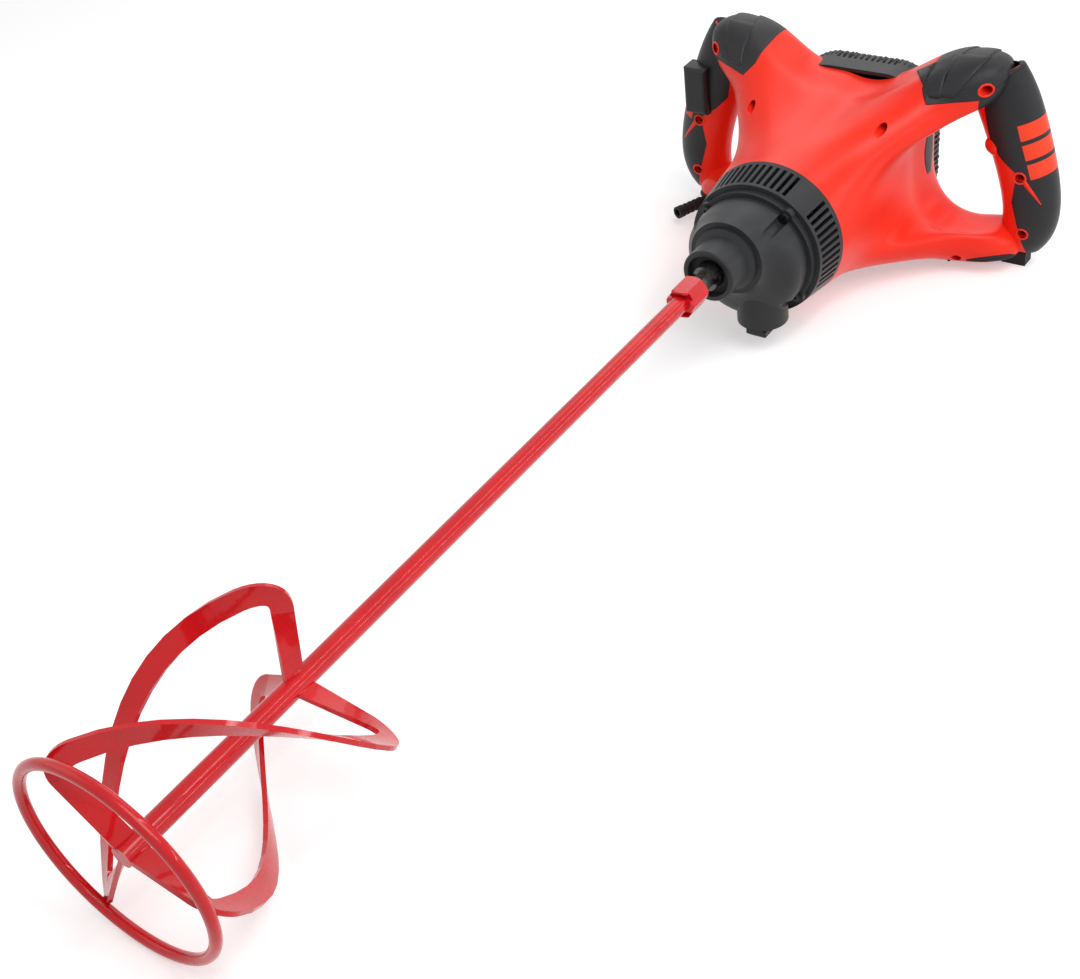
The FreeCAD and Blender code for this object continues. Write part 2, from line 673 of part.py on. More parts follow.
def sealed_bearing(outer, inner, start, length, axis):
    """A sealed ball bearing as one ring, with the joint between its two races on both faces."""
    end = start + length
    bore = inner + RUNNING_CLEARANCE
    middle = (outer + bore) / 2
    low = middle - BEARING_GROOVE_WIDTH / 2
    high = middle + BEARING_GROOVE_WIDTH / 2
    return turned((
        (bore, start), (low, start), (low, start + BEARING_GROOVE_DEPTH), (high, start + BEARING_GROOVE_DEPTH),
        (high, start), (outer, start), (outer, end), (high, end), (high, end - BEARING_GROOVE_DEPTH),
        (low, end - BEARING_GROOVE_DEPTH), (low, end), (bore, end)), axis)


def oil_seal():
    end = SEAL_START + SEAL_LENGTH
    inner = SPINDLE_RADIUS + RUNNING_CLEARANCE
    return turned((
        (inner, SEAL_START + SEAL_LIP), (inner + SEAL_LIP, SEAL_START), (NOSE_BORE, SEAL_START),
        (NOSE_BORE, end), (inner + SEAL_LIP, end), (inner, end - SEAL_LIP)))


def spindle_circlip():
    outer = NOSE_BORE + CIRCLIP_GROOVE
    ring = tube(outer, outer - CIRCLIP_WIDTH, CIRCLIP_START, SPINDLE_BEARING_START)
    gap = block((-CIRCLIP_OPENING / 2, 0, CIRCLIP_START - OVERRUN),
                (CIRCLIP_OPENING / 2, outer + OVERRUN, SPINDLE_BEARING_START + OVERRUN))
    return ring.cut(gap)


# Gear housing


def flange_screw_places():
    step = 360 / FLANGE_SCREW_COUNT
    return [polar(FLANGE_SCREW_CIRCLE, FLANGE_SCREW_START_DEG + step * index, MOTOR_AXIS)
            for index in range(FLANGE_SCREW_COUNT)]


def case_form():
    """Outer form of the gear case, which swells from the nose to the drum round the motor axis."""
    wires = []
    for step in range(CASE_FLARE_STEPS + 1):
        share = (1 - math.cos(math.pi * step / CASE_FLARE_STEPS)) / 2
        radius = CASE_FRONT_RADIUS + (CASE_RADIUS - CASE_FRONT_RADIUS) * share
        station = CASE_START + CASE_FLARE_LENGTH * step / CASE_FLARE_STEPS
        centre = V(0, MOTOR_OFFSET * share, station)
        wires.append(Part.Wire(Part.makeCircle(radius, centre, V(0, 0, 1))))
    flare = Part.makeLoft(wires, True, False)
    return flare.fuse(cylinder(CASE_RADIUS, CASE_FULL, FLANGE_START, MOTOR_AXIS))


def knob_cylinder(radius, start, end):
    return Part.makeCylinder(radius, end - start, V(KNOB_X, start, KNOB_Z), V(0, 1, 0))


def gear_housing():
    nose = turned((
        (0, NOSE_FRONT), (NOSE_RADIUS - NOSE_RIM_CHAMFER, NOSE_FRONT),
        (NOSE_RADIUS, NOSE_FRONT + NOSE_RIM_CHAMFER), (NOSE_RADIUS, NOSE_END - COLLAR_LENGTH / 2),
        (COLLAR_RADIUS, NOSE_END), (COLLAR_RADIUS, CASE_START + COLLAR_LENGTH), (0, CASE_START + COLLAR_LENGTH)))
    flange = cylinder(FLANGE_RADIUS, FLANGE_START, FLANGE_END, MOTOR_AXIS)
    lugs = [cylinder(FLANGE_LUG_RADIUS, FLANGE_START, FLANGE_END, place) for place in flange_screw_places()]
    knob_boss = knob_cylinder(KNOB_BOSS_RADIUS, MOTOR_OFFSET + SPINDLE_GEAR_TIP, KNOB_BOSS_END)
    knob_boss = knob_boss.cut(cylinder(VENT_REAR_RADIUS, FLANGE_END, VENT_END, MOTOR_AXIS))
    body = case_form().fuse([nose, flange, knob_boss] + lugs)
    main_room = cylinder(CASE_BORE, FIRST_GEAR_START - GEAR_GAP / 2, FLANGE_END + OVERRUN, MOTOR_AXIS)
    spindle_room = cylinder(SPINDLE_GEAR_TIP + GEAR_RUN_ROOM, SECOND_GEAR_START - GEAR_GAP / 2,
                            FIRST_GEAR_START, SPINDLE_AXIS)
    lay_room = cylinder(LAY_PINION_TIP + GEAR_RUN_ROOM, LAY_FRONT_END, FIRST_GEAR_START, LAY_AXIS)
    lay_seat = cylinder(LAY_BEARING_RADIUS, LAY_FRONT_START - RUNNING_CLEARANCE, LAY_FRONT_END + OVERRUN, LAY_AXIS)
    throat = cylinder(NOSE_THROAT, NOSE_FRONT - OVERRUN, SECOND_GEAR_START)
    bore = cylinder(NOSE_BORE, NOSE_FRONT - OVERRUN, NOSE_END)
    groove = cylinder(NOSE_BORE + CIRCLIP_GROOVE, CIRCLIP_START, SPINDLE_BEARING_START)
    plate_seat = cylinder(PLATE_RADIUS, PLATE_START, FLANGE_END + OVERRUN, MOTOR_AXIS)
    stem_bore = knob_cylinder(KNOB_STEM_RADIUS + RUNNING_CLEARANCE,
                              KNOB_BOSS_END - KNOB_STEM_LENGTH - KNOB_BORE_ROOM, KNOB_BOSS_END + OVERRUN)
    rooms = [main_room, spindle_room, lay_room, lay_seat, throat, bore, groove, plate_seat, stem_bore]
    holes = [cylinder(FLANGE_SCREW_RADIUS, FLANGE_START - OVERRUN, FLANGE_END + OVERRUN, place)
             for place in flange_screw_places()]
    wells = [cylinder(FLANGE_SCREW_WELL, CASE_START, FLANGE_START, place) for place in flange_screw_places()]
    return body.cut(rooms + holes + wells)


def gearbox_screws():
    screws = []
    for place in flange_screw_places():
        head_start = FLANGE_START - FLANGE_SCREW_HEAD_HEIGHT
        head = cylinder(FLANGE_SCREW_HEAD_RADIUS, head_start, FLANGE_START, place)
        shank = cylinder(FLANGE_SCREW_RADIUS, FLANGE_START, FLANGE_START + FLANGE_SCREW_LENGTH, place)
        socket = hexagon_prism(HEX_SOCKET_FLATS, head_start - OVERRUN, head_start + HEX_SOCKET_DEPTH, place)
        screws.append(head.fuse(shank).cut(socket))
    return Part.makeCompound(screws)


def selector_knob():
    disc_start = KNOB_BOSS_END + MOVING_CLEARANCE
    disc_end = disc_start + KNOB_HEIGHT
    disc = knob_cylinder(KNOB_RADIUS, disc_start, disc_end)
    stem = knob_cylinder(KNOB_STEM_RADIUS, KNOB_BOSS_END - KNOB_STEM_LENGTH, disc_start)
    half_width = KNOB_BAR_WIDTH / 2
    half_length = KNOB_BAR_LENGTH / 2
    low = (KNOB_X - half_width, disc_end, KNOB_Z - half_length)
    high = (KNOB_X + half_width, disc_end + KNOB_BAR_HEIGHT, KNOB_Z + half_length)
    bar = block(low, high)
    edges = [edge for edge in bar.Edges if edge.CenterOfMass.y > disc_end + KNOB_BAR_HEIGHT * 0.9]
    bar = bar.makeChamfer(KNOB_BAR_TAPER, edges)
    return disc.fuse([stem, bar])


def bearing_plate():
    plate = cylinder(PLATE_RADIUS, PLATE_START, PLATE_END, MOTOR_AXIS)
    tail_seat = cylinder(TAIL_BEARING_RADIUS, PLATE_START - OVERRUN, PLATE_START + TAIL_BEARING_LENGTH)
    lay_seat = cylinder(LAY_BEARING_RADIUS, PLATE_START - OVERRUN, PLATE_START + LAY_BEARING_LENGTH, LAY_AXIS)
    motor_seat = cylinder(MOTOR_BEARING_RADIUS, MOTOR_BEARING_START, PLATE_END + OVERRUN, MOTOR_AXIS)
    pass_hole = cylinder(MOTOR_PINION_TIP + PINION_TIP_ROOM, PLATE_START - OVERRUN, PLATE_END, MOTOR_AXIS)
    return plate.cut([tail_seat, lay_seat, motor_seat, pass_hole])


# Motor


def cooling_fan():
    disc = cylinder(FAN_RADIUS, FAN_END - FAN_DISC, FAN_END, MOTOR_AXIS)
    hub = cylinder(FAN_HUB_RADIUS, FAN_START, FAN_END, MOTOR_AXIS)
    half = FAN_BLADE_THICKNESS / 2
    blades = []
    for index in range(FAN_BLADES):
        blade = block((SHAFT_RADIUS + half, MOTOR_OFFSET - half, FAN_START),
                      (FAN_RADIUS - half, MOTOR_OFFSET + half, FAN_END - FAN_DISC / 2))
        blades.append(spun(blade, 360 * index / FAN_BLADES, MOTOR_AXIS))
    bore = cylinder(SHAFT_RADIUS, FAN_START - OVERRUN, FAN_END + OVERRUN, MOTOR_AXIS)
    return disc.fuse([hub] + blades).cut(bore)


def armature_core():
    core = tube(ARMATURE_RADIUS, SHAFT_RADIUS, STATOR_START, STATOR_END, MOTOR_AXIS)
    half = ARMATURE_SLOT_WIDTH / 2
    slots = []
    for index in range(ARMATURE_SLOTS):
        slot = block((ARMATURE_RADIUS - ARMATURE_SLOT_DEPTH, MOTOR_OFFSET - half, STATOR_START - OVERRUN),
                     (ARMATURE_RADIUS + OVERRUN, MOTOR_OFFSET + half, STATOR_END + OVERRUN))
        slots.append(spun(slot, 360 * index / ARMATURE_SLOTS, MOTOR_AXIS))
    return core.cut(Part.makeCompound(slots))


def armature_winding():
    """The two rounded end turns of the armature winding."""
    outer = ARMATURE_RADIUS - WINDING_GAP
    inner = outer - WINDING_OVERHANG / 2
    ends = []
    for face, tip in ((STATOR_START, STATOR_START - WINDING_OVERHANG), (STATOR_END, STATOR_END + WINDING_OVERHANG)):
        middle = (face + tip) / 2
        ends.append(turned(((SHAFT_RADIUS, face), (outer, face), (outer, middle), (inner, tip), (SHAFT_RADIUS, tip)),
                           MOTOR_AXIS))
    return Part.makeCompound(ends)


def commutator():
    drum = tube(COMMUTATOR_RADIUS, SHAFT_RADIUS, COMMUTATOR_START, COMMUTATOR_END, MOTOR_AXIS)
    half = COMMUTATOR_SLIT / 2
    slits = []
    for index in range(COMMUTATOR_BARS):
        slit = block((COMMUTATOR_RADIUS - COMMUTATOR_SLIT_DEPTH, MOTOR_OFFSET - half, COMMUTATOR_START - OVERRUN),
                     (COMMUTATOR_RADIUS + OVERRUN, MOTOR_OFFSET + half, COMMUTATOR_END + OVERRUN))
        slits.append(spun(slit, 360 * index / COMMUTATOR_BARS, MOTOR_AXIS))
    return drum.cut(Part.makeCompound(slits))


def stator_core():
    yoke = tube(STATOR_RADIUS, STATOR_RADIUS - STATOR_YOKE, STATOR_START, STATOR_END, MOTOR_AXIS)
    half = POLE_WIDTH / 2
    pole = block((-half, MOTOR_OFFSET - STATOR_RADIUS, STATOR_START),
                 (half, MOTOR_OFFSET + STATOR_RADIUS, STATOR_END))
    pole = pole.common(cylinder(STATOR_RADIUS - STATOR_YOKE / 2, STATOR_START, STATOR_END, MOTOR_AXIS))
    room = cylinder(ARMATURE_RADIUS + AIR_GAP, STATOR_START - OVERRUN, STATOR_END + OVERRUN, MOTOR_AXIS)
    return yoke.fuse(pole).cut(room).removeSplitter()


def field_coils():
    """End turns of the two field coils, standing on both faces of the stator over its poles."""
    outer = STATOR_RADIUS - STATOR_YOKE
    inner = outer - COIL_WIDTH
    half = POLE_WIDTH / 2 + COIL_GAP
    coils = []
    for start, end in ((STATOR_START - COIL_OVERHANG, STATOR_START), (STATOR_END, STATOR_END + COIL_OVERHANG)):
        ring = tube(outer, inner, start, end, MOTOR_AXIS)
        for low, high in ((MOTOR_OFFSET - STATOR_RADIUS, MOTOR_OFFSET), (MOTOR_OFFSET, MOTOR_OFFSET + STATOR_RADIUS)):
            coils.append(ring.common(block((-half, low, start), (half, high, end))))
    return Part.makeCompound(coils)


def brush_stations():
    middle = (COMMUTATOR_START + COMMUTATOR_END) / 2
    return middle - BRUSH_HEIGHT / 2, middle + BRUSH_HEIGHT / 2


def carbon_brushes():
    low, high = brush_stations()
    half = BRUSH_WIDTH / 2
    room = cylinder(COMMUTATOR_RADIUS + BRUSH_RUN_GAP, low - OVERRUN, high + OVERRUN, MOTOR_AXIS)
    brush = block((0, MOTOR_OFFSET - half, low), (COMMUTATOR_RADIUS + BRUSH_LENGTH, MOTOR_OFFSET + half, high))
    brush = brush.cut(room)
    return Part.makeCompound([brush, mirrored(brush)])


def brush_holders():
    low, high = brush_stations()
    half = BRUSH_WIDTH / 2
    holder = block((COMMUTATOR_RADIUS + HOLDER_GAP, MOTOR_OFFSET - half - HOLDER_WALL, low - HOLDER_WALL),
                   (STATOR_RADIUS + BARREL_WALL, MOTOR_OFFSET + half + HOLDER_WALL, high + HOLDER_WALL))
    holder = holder.common(cylinder(STATOR_RADIUS, low - OVERRUN, high + OVERRUN, MOTOR_AXIS))
    channel = block((0, MOTOR_OFFSET - half, low), (COMMUTATOR_RADIUS + BRUSH_LENGTH, MOTOR_OFFSET + half, high))
    holder = holder.cut(channel)
    return Part.makeCompound([holder, mirrored(holder)])


def motor_barrel():
    """The dark barrel round the motor: flange rim, flared ring of cooling slots, spigot, tube and rear spider."""
    slope = (VENT_REAR_RADIUS - VENT_FRONT_RADIUS) / VENT_LENGTH
    rim_end = PLATE_END
    spigot = VENT_REAR_RADIUS - HOUSING_WALL - SPIGOT_GAP
    spigot_end = VENT_END + SPIGOT_LENGTH
    tube_radius = STATOR_RADIUS + BARREL_WALL
    shell = turned((
        (PLATE_RADIUS, FLANGE_END), (VENT_FRONT_RADIUS, FLANGE_END), (VENT_REAR_RADIUS, VENT_END),
        (spigot, VENT_END), (spigot, spigot_end), (tube_radius, spigot_end), (tube_radius, BARREL_END),
        (STATOR_RADIUS, BARREL_END), (STATOR_RADIUS, VENT_END - VENT_RIM),
        (VENT_REAR_RADIUS - VENT_WALL, VENT_END - VENT_RIM),
        (VENT_FRONT_RADIUS + slope * (rim_end - FLANGE_END) - VENT_WALL, rim_end), (PLATE_RADIUS, rim_end)),
        MOTOR_AXIS)
    half = VENT_SLOT_WIDTH / 2
    slots = []
    for group in range(VENT_GROUPS):
        middle = FLANGE_SCREW_START_DEG + (group + 0.5) * 360 / VENT_GROUPS
        for index in range(VENT_SLOTS_PER_GROUP):
            angle = middle + (index - (VENT_SLOTS_PER_GROUP - 1) / 2) * VENT_PITCH_DEG
            far = (VENT_REAR_RADIUS + OVERRUN, MOTOR_OFFSET + half, VENT_END - VENT_RIM)
            slot = block((FAN_RADIUS + half, MOTOR_OFFSET - half, rim_end), far)
            groove = block((VENT_FLOOR_RADIUS, MOTOR_OFFSET - half, FLANGE_END + VENT_FRONT_RIM), far)
            slots.append(spun(slot.fuse(groove), angle, MOTOR_AXIS))
    boss_radius = MOTOR_BEARING_RADIUS + SPIDER_BOSS_WALL
    boss = cylinder(boss_radius, REAR_BEARING_START, BARREL_END, MOTOR_AXIS)
    arms = []
    for index in range(SPIDER_ARMS):
        arm = block((0, MOTOR_OFFSET - SPIDER_ARM_WIDTH / 2, REAR_BEARING_END),
                    (STATOR_RADIUS + BARREL_WALL / 2, MOTOR_OFFSET + SPIDER_ARM_WIDTH / 2, BARREL_END))
        arms.append(spun(arm, 360 * (index + 0.5) / SPIDER_ARMS, MOTOR_AXIS))
    seat = cylinder(MOTOR_BEARING_RADIUS, REAR_BEARING_START - OVERRUN, REAR_BEARING_END, MOTOR_AXIS)
    holes = [cylinder(FLANGE_SCREW_RADIUS, FLANGE_END - OVERRUN, FLANGE_START + FLANGE_SCREW_LENGTH, place)
             for place in flange_screw_places()]
    return shell.fuse([boss] + arms).cut(slots + [seat] + holes)


# Housing shells


def housing_outline():
    """Closed outline at the handles."""
    right = outline_points(OUTLINE_SHARES)
    left = [(-x, y) for x, y in reversed(right[1:-1])]
    return right + left


def moved_inwards(loop, inset):
    """Closed loop of points, each moved inwards by the inset."""
    moved = []
    for index, (x, y) in enumerate(loop):
        before = loop[index - 1]
        after = loop[(index + 1) % len(loop)]
        run = V(after[0] - before[0], after[1] - before[1], 0).normalize()
        moved.append((x - run.y * inset, y + run.x * inset))
    return moved


def section_wire(share, station, inset):
    """Housing section between the round motor mouth (share 0) and the outline at the handles (share 1)."""
    outline = housing_outline()
    loop = []
    for index, (x, y) in enumerate(outline):
        round_x, round_y = polar(VENT_REAR_RADIUS, 360 * index / len(outline) - 90, MOTOR_AXIS)
        loop.append((round_x + (x - round_x) * share, round_y + (y - round_y) * share))
    curve = Part.BSplineCurve()
    curve.interpolate([V(x, y, station) for x, y in moved_inwards(loop, inset)], True)
    return Part.Wire(curve.toShape())


def body_form(inset):
    wires = []
    for step in range(FLARE_SECTIONS):
        part_way = step / (FLARE_SECTIONS - 1)
        station = VENT_END + FLARE_LENGTH * part_way
        wires.append(section_wire(part_way ** FLARE_EXPONENT, station, inset))
    wires.append(section_wire(1.0, SPLIT, inset))
    wires.append(section_wire(1.0, SPLIT + REAR_STEP - inset, inset + REAR_ROUND * REAR_ROUND_START_SHARE))
    wires.append(section_wire(1.0, HOUSING_REAR - inset, inset + REAR_ROUND))
    return Part.makeLoft(wires, True, False)


def grip_form(inset):
    line = outline_points(GRIP_LINE_SHARES)
    wires = []
    for index, (x, y) in enumerate(line):
        before = line[max(index - 1, 0)]
        after = line[min(index + 1, len(line) - 1)]
        run = V(after[0] - before[0], after[1] - before[1], 0).normalize()
        across = V(run.y, -run.x, 0)
        width = GRIP_HALF_WIDTHS[index] - inset
        depth = GRIP_HALF_DEPTHS[index] - inset
        middle = V(x, y, SPLIT)
        points = []
        for step in range(GRIP_SECTION_POINTS):
            angle = 2 * math.pi * step / GRIP_SECTION_POINTS
            points.append(middle + across * (width * math.cos(angle)) + V(0, 0, depth * math.sin(angle)))
        ellipse = Part.BSplineCurve()
        ellipse.interpolate(points, True)
        wires.append(Part.Wire(ellipse.toShape()))
    return Part.makeLoft(wires, True, False)


def housing_form(inset):
    grip = grip_form(inset)
    return body_form(inset).fuse([grip, mirrored(grip)], FUSE_TOLERANCE)


def cover_outline(grow):
    """Rounded outline of the rear cover as a face, grown outwards."""
    corner = COVER_CORNER + grow
    right = COVER_HALF_WIDTH + grow
    top = -COVER_TOP - grow
    bottom = COVER_BOTTOM + grow
    slab = block((-right, top, 0), (right, bottom, REACH_OF_CUTS))
    edges = [edge for edge in slab.Edges if abs(edge.Vertexes[0].Z - edge.Vertexes[-1].Z) > COVER_CORNER]
    return slab.makeFillet(corner, edges)


def cover_prism(grow, start, end):
    slab = cover_outline(grow)
    slab.translate(V(0, 0, start))
    return slab.common(block((-REACH_OF_CUTS, -REACH_OF_CUTS, start), (REACH_OF_CUTS, REACH_OF_CUTS, end)))


def rear_motor_cover():
    shell = cover_prism(0, COVER_START, TOOL_END)
    rear = [edge for edge in shell.Edges if edge.BoundBox.ZMin > TOOL_END - COVER_ROUND / 2]
    shell = shell.makeFillet(COVER_ROUND, rear)
    hollow = cover_prism(-COVER_WALL, COVER_START - OVERRUN, TOOL_END - COVER_WALL)
    half = LOUVRE_WIDTH / 2
    start = TOOL_END - LOUVRE_LENGTH
    cuts = []
    middle = (COVER_BOTTOM - COVER_TOP) / 2
    for index in range(-LOUVRE_HALF_COUNT, LOUVRE_HALF_COUNT + 1):
        place = index * LOUVRE_PITCH
        cuts.append(block((place - half, -COVER_TOP - OVERRUN, start),
                          (place + half, COVER_BOTTOM + OVERRUN, TOOL_END + OVERRUN)))
        cuts.append(block((-COVER_HALF_WIDTH - OVERRUN, middle + place - half, start),
                          (COVER_HALF_WIDTH + OVERRUN, middle + place + half, TOOL_END + OVERRUN)))
    inner = cover_prism(-COVER_WALL - COVER_ROUND, COVER_START, TOOL_END + OVERRUN)
    louvres = Part.makeCompound(cuts).cut(inner)
    return shell.cut(hollow).cut(louvres)


def screw_places():
    places = [BODY_SCREW, CAP_SCREW, MIDDLE_SCREW, LOWER_SCREW, FOOT_SCREW]
    return places + [(-x, y) for x, y in places]


def housing_screws():
    seat = SPLIT - SCREW_SEAT_DEPTH
    screws = []
    for place in screw_places():
        head = cylinder(SCREW_HEAD_RADIUS, seat - SCREW_HEAD_HEIGHT, seat, place)
        shank = cylinder(SCREW_RADIUS, seat, seat + SCREW_LENGTH, place)
        cross = hexagon_prism(HEX_SOCKET_FLATS, seat - SCREW_HEAD_HEIGHT - OVERRUN,
                              seat - SCREW_HEAD_HEIGHT + HEX_SOCKET_DEPTH, place)
        screws.append(head.fuse(shank).cut(cross))
    return Part.makeCompound(screws)


def half_space(front):
    if front:
        return block((-REACH_OF_CUTS, -REACH_OF_CUTS, 0), (REACH_OF_CUTS, REACH_OF_CUTS, SPLIT))
    return block((-REACH_OF_CUTS, -REACH_OF_CUTS, SPLIT), (REACH_OF_CUTS, REACH_OF_CUTS, SPLIT + REACH_OF_CUTS))


def region_prism(shares, side):
    """Column over a region of the handle's front view, on the right (1) or the left (-1) handle."""
    points = [(side * x, y) for x, y in outline_points(shares)]
    return prism(points, NOSE_FRONT, TOOL_END + OVERRUN)


def housing_solid(outer, core, cavity):
    """Both halves of the housing together, sunk under the soft grips and hollow, with bosses for the screws."""
    regions = [region_prism(shares, side) for side in (1, -1) for shares in (CAP_EDGE_SHARES, OUTER_GRIP_SHARES)]
    columns = regions[0].fuse(regions[1:])
    form = outer.cut(columns).fuse(core.common(columns))
    bosses = [cylinder(SCREW_BOSS_RADIUS, VENT_END, TOOL_END, place) for place in screw_places()]
    bosses += [cylinder(CLAMP_BOSS_RADIUS, clamp_end(), TOOL_END, place) for place in clamp_screw_places()]
    return form.cut(cavity).fuse(form.common(Part.makeCompound(bosses)))


def housing_shell(front, solid, cuts):
    """One half of the housing, less the openings given."""
    half = solid.common(half_space(front))
    seat = SPLIT - SCREW_SEAT_DEPTH
    room = [cover_prism(SEAT_CLEARANCE, COVER_START - SEAT_CLEARANCE, TOOL_END + OVERRUN)]
    for place in screw_places():
        room.append(cylinder(SCREW_RADIUS, seat - OVERRUN, seat + SCREW_LENGTH, place))
    if front:
        room += [cylinder(SCREW_WELL_RADIUS, NOSE_FRONT, seat, place) for place in screw_places()]
    else:
        room += [cylinder(CLAMP_SCREW_RADIUS, SPLIT, clamp_start() + CLAMP_SCREW_LENGTH, place)
                 for place in clamp_screw_places()]
    return half.cut(room + cuts)


def screw_wells(side):
    """Wells of the screws that pass through the soft grips of one handle."""
    places = [(side * x, y) for x, y in (CAP_SCREW, MIDDLE_SCREW, LOWER_SCREW)]
    return [cylinder(SCREW_WELL_RADIUS, NOSE_FRONT, SPLIT, place) for place in places]


def soft_grip(outer, core, shares, side):
    """Soft skin over one region of a handle."""
    return outer.common(region_prism(shares, side).cut(core))


def grip_stripes(outer, under, side):
    """Slanted stripes let into the outer grip of one handle."""
    x, y = outline_points((STRIPE_START_SHARES,))[0]
    stripes = []
    for index in range(STRIPE_COUNT):
        low = index * STRIPE_PITCH
        band = block((0, low, VENT_END), (STRIPE_REACH, low + STRIPE_HEIGHT, SPLIT + GRIP_HALF_DEPTHS[2] / 2))
        band.rotate(V(0, 0, 0), V(0, 0, 1), STRIPE_TILT_DEG)
        band.translate(V(x, y, 0))
        if side < 0:
            band = mirrored(band)
        stripes.append(band.cut(under))
    return outer.common(Part.makeCompound(stripes))


def rest_pad(outer):
    """Ribbed pad under the right lower arm, cut flat where it meets the floor."""
    start = SPLIT - PAD_DEPTH / 2
    end = SPLIT + PAD_DEPTH / 2
    top = PAD_DROP - PAD_HEIGHT
    deep = PAD_DROP + OVERRUN
    length = PAD_PITCH * (PAD_COUNT - 1) + PAD_LENGTH
    base = block((PAD_FIRST_X, top, start), (PAD_FIRST_X + length, PAD_DROP - PAD_GROOVE, end))
    ribs = [block((PAD_FIRST_X + index * PAD_PITCH, top, start),
                  (PAD_FIRST_X + index * PAD_PITCH + PAD_LENGTH, deep, end)) for index in range(PAD_COUNT)]
    near = floor_drop(start)
    far = floor_drop(end)
    side = (V(0, near, start), V(0, far, end), V(0, far + REACH_OF_CUTS, end), V(0, near + REACH_OF_CUTS, start))
    below = Part.Face(Part.makePolygon(list(side) + [side[0]])).extrude(V(REACH_OF_CUTS, 0, 0))
    return base.fuse(ribs).cut(below).cut(outer)


# Controls in the left handle


def trigger():
    half_width = TRIGGER_WIDTH / 2
    half_height = TRIGGER_HEIGHT / 2
    shape = block((TRIGGER_X - half_width, TRIGGER_Y - half_height, TRIGGER_FRONT),
                  (TRIGGER_X + half_width, TRIGGER_Y + half_height, TRIGGER_BACK))
    front = [edge for edge in shape.Edges if edge.BoundBox.ZMax < TRIGGER_FRONT + TRIGGER_ROUND]
    return shape.makeFillet(TRIGGER_ROUND, front)


def trigger_room():
    half_width = TRIGGER_WIDTH / 2 + MOVING_CLEARANCE
    half_height = TRIGGER_HEIGHT / 2 + MOVING_CLEARANCE
    return block((TRIGGER_X - half_width, TRIGGER_Y - half_height, VENT_END),
                 (TRIGGER_X + half_width, TRIGGER_Y + half_height, SWITCH_START))


def switch_body(cavity):
    half_width = SWITCH_WIDTH / 2
    half_height = SWITCH_HEIGHT / 2
    body = block((TRIGGER_X - half_width, TRIGGER_Y - half_height, SWITCH_START),
                 (TRIGGER_X + half_width, TRIGGER_Y + half_height, SWITCH_END))
    posts = [cylinder(SWITCH_POST_RADIUS, SWITCH_END - SWITCH_SEAT, TOOL_END,
                      (TRIGGER_X, TRIGGER_Y + side * (half_height - SWITCH_POST_RADIUS))) for side in (-1, 1)]
    return body.fuse(posts).common(cavity)


def return_spring(radius, start, end, place):
    """A hidden return spring, drawn as the sleeve that its turns fill."""
    return tube(radius + SPRING_WIRE / 2, radius - SPRING_WIRE / 2, start + SPRING_INSET, end - SPRING_INSET, place)


def lock_button():
    place = (LOCK_X, LOCK_Y)
    flange = cylinder(LOCK_FLANGE_RADIUS, LOCK_INNER, LOCK_INNER + LOCK_FLANGE_THICKNESS, place)
    return flange.fuse(cylinder(LOCK_RADIUS, LOCK_INNER, LOCK_INNER + LOCK_LENGTH, place))


def lock_button_room():
    return cylinder(LOCK_RADIUS + MOVING_CLEARANCE, LOCK_INNER, TOOL_END + OVERRUN, (LOCK_X, LOCK_Y))


def speed_dial():
    place = (DIAL_X, DIAL_Y)
    disc = cylinder(DIAL_RADIUS, DIAL_START, DIAL_START + DIAL_HEIGHT, place)
    stem = cylinder(DIAL_STEM_RADIUS, SPLIT + BOARD_THICKNESS + DIAL_GAP, DIAL_START, place)
    notches = []
    for index in range(DIAL_NOTCHES):
        notch = polar(DIAL_RADIUS, 360 * index / DIAL_NOTCHES, place)
        notches.append(cylinder(DIAL_NOTCH_RADIUS, DIAL_START - OVERRUN, DIAL_START + DIAL_HEIGHT + OVERRUN, notch))
    return disc.fuse(stem).cut(Part.makeCompound(notches))


def speed_dial_room():
    place = (DIAL_X, DIAL_Y)
    recess = cylinder(DIAL_RADIUS + MOVING_CLEARANCE, DIAL_START - DIAL_GAP, TOOL_END + OVERRUN, place)
    return recess.fuse(cylinder(DIAL_STEM_RADIUS + MOVING_CLEARANCE, SPLIT, TOOL_END, place))


def control_board(cavity):
    half_width = BOARD_WIDTH / 2
    half_height = BOARD_HEIGHT / 2
    board = block((DIAL_X - half_width, DIAL_Y - half_height, SPLIT),
                  (DIAL_X + half_width, DIAL_Y + half_height, SPLIT + BOARD_THICKNESS))
    posts = [cylinder(BOARD_POST_RADIUS, SPLIT, TOOL_END, (DIAL_X, DIAL_Y + side * BOARD_POST_SPREAD))
             for side in (-1, 1)]
    return board.fuse(posts).common(cavity)


def sleeve_ends():
    base = V(SLEEVE_BASE[0], SLEEVE_BASE[1], SPLIT + SLEEVE_BASE[2])
    tip = V(SLEEVE_END[0], SLEEVE_END[1], SPLIT + SLEEVE_END[2])
    return base, tip


def cord_sleeve():
    base, tip = sleeve_ends()
    run = (tip - base).normalize()
    length = (tip - base).Length
    root = base - run * SLEEVE_ROOT
    body = Part.makeCylinder(SLEEVE_RADIUS, length + SLEEVE_ROOT, root, run)
    bead = Part.makeCylinder(SLEEVE_BEAD_RADIUS, SLEEVE_BEAD_LENGTH, tip - run * SLEEVE_BEAD_LENGTH, run)
    pieces = [bead]
    step = (length - SLEEVE_BEAD_LENGTH - SLEEVE_RIB_START) / SLEEVE_RIBS
    for index in range(SLEEVE_RIBS):
        place = base + run * (SLEEVE_RIB_START + step * index)
        pieces.append(Part.makeCylinder(SLEEVE_RADIUS + SLEEVE_RIB_HEIGHT, SLEEVE_RIB_WIDTH, place, run))
    bore = Part.makeCylinder(SLEEVE_BORE, length + SLEEVE_ROOT + 2 * OVERRUN, root - run * OVERRUN, run)
    return body.fuse(pieces).cut(bore)


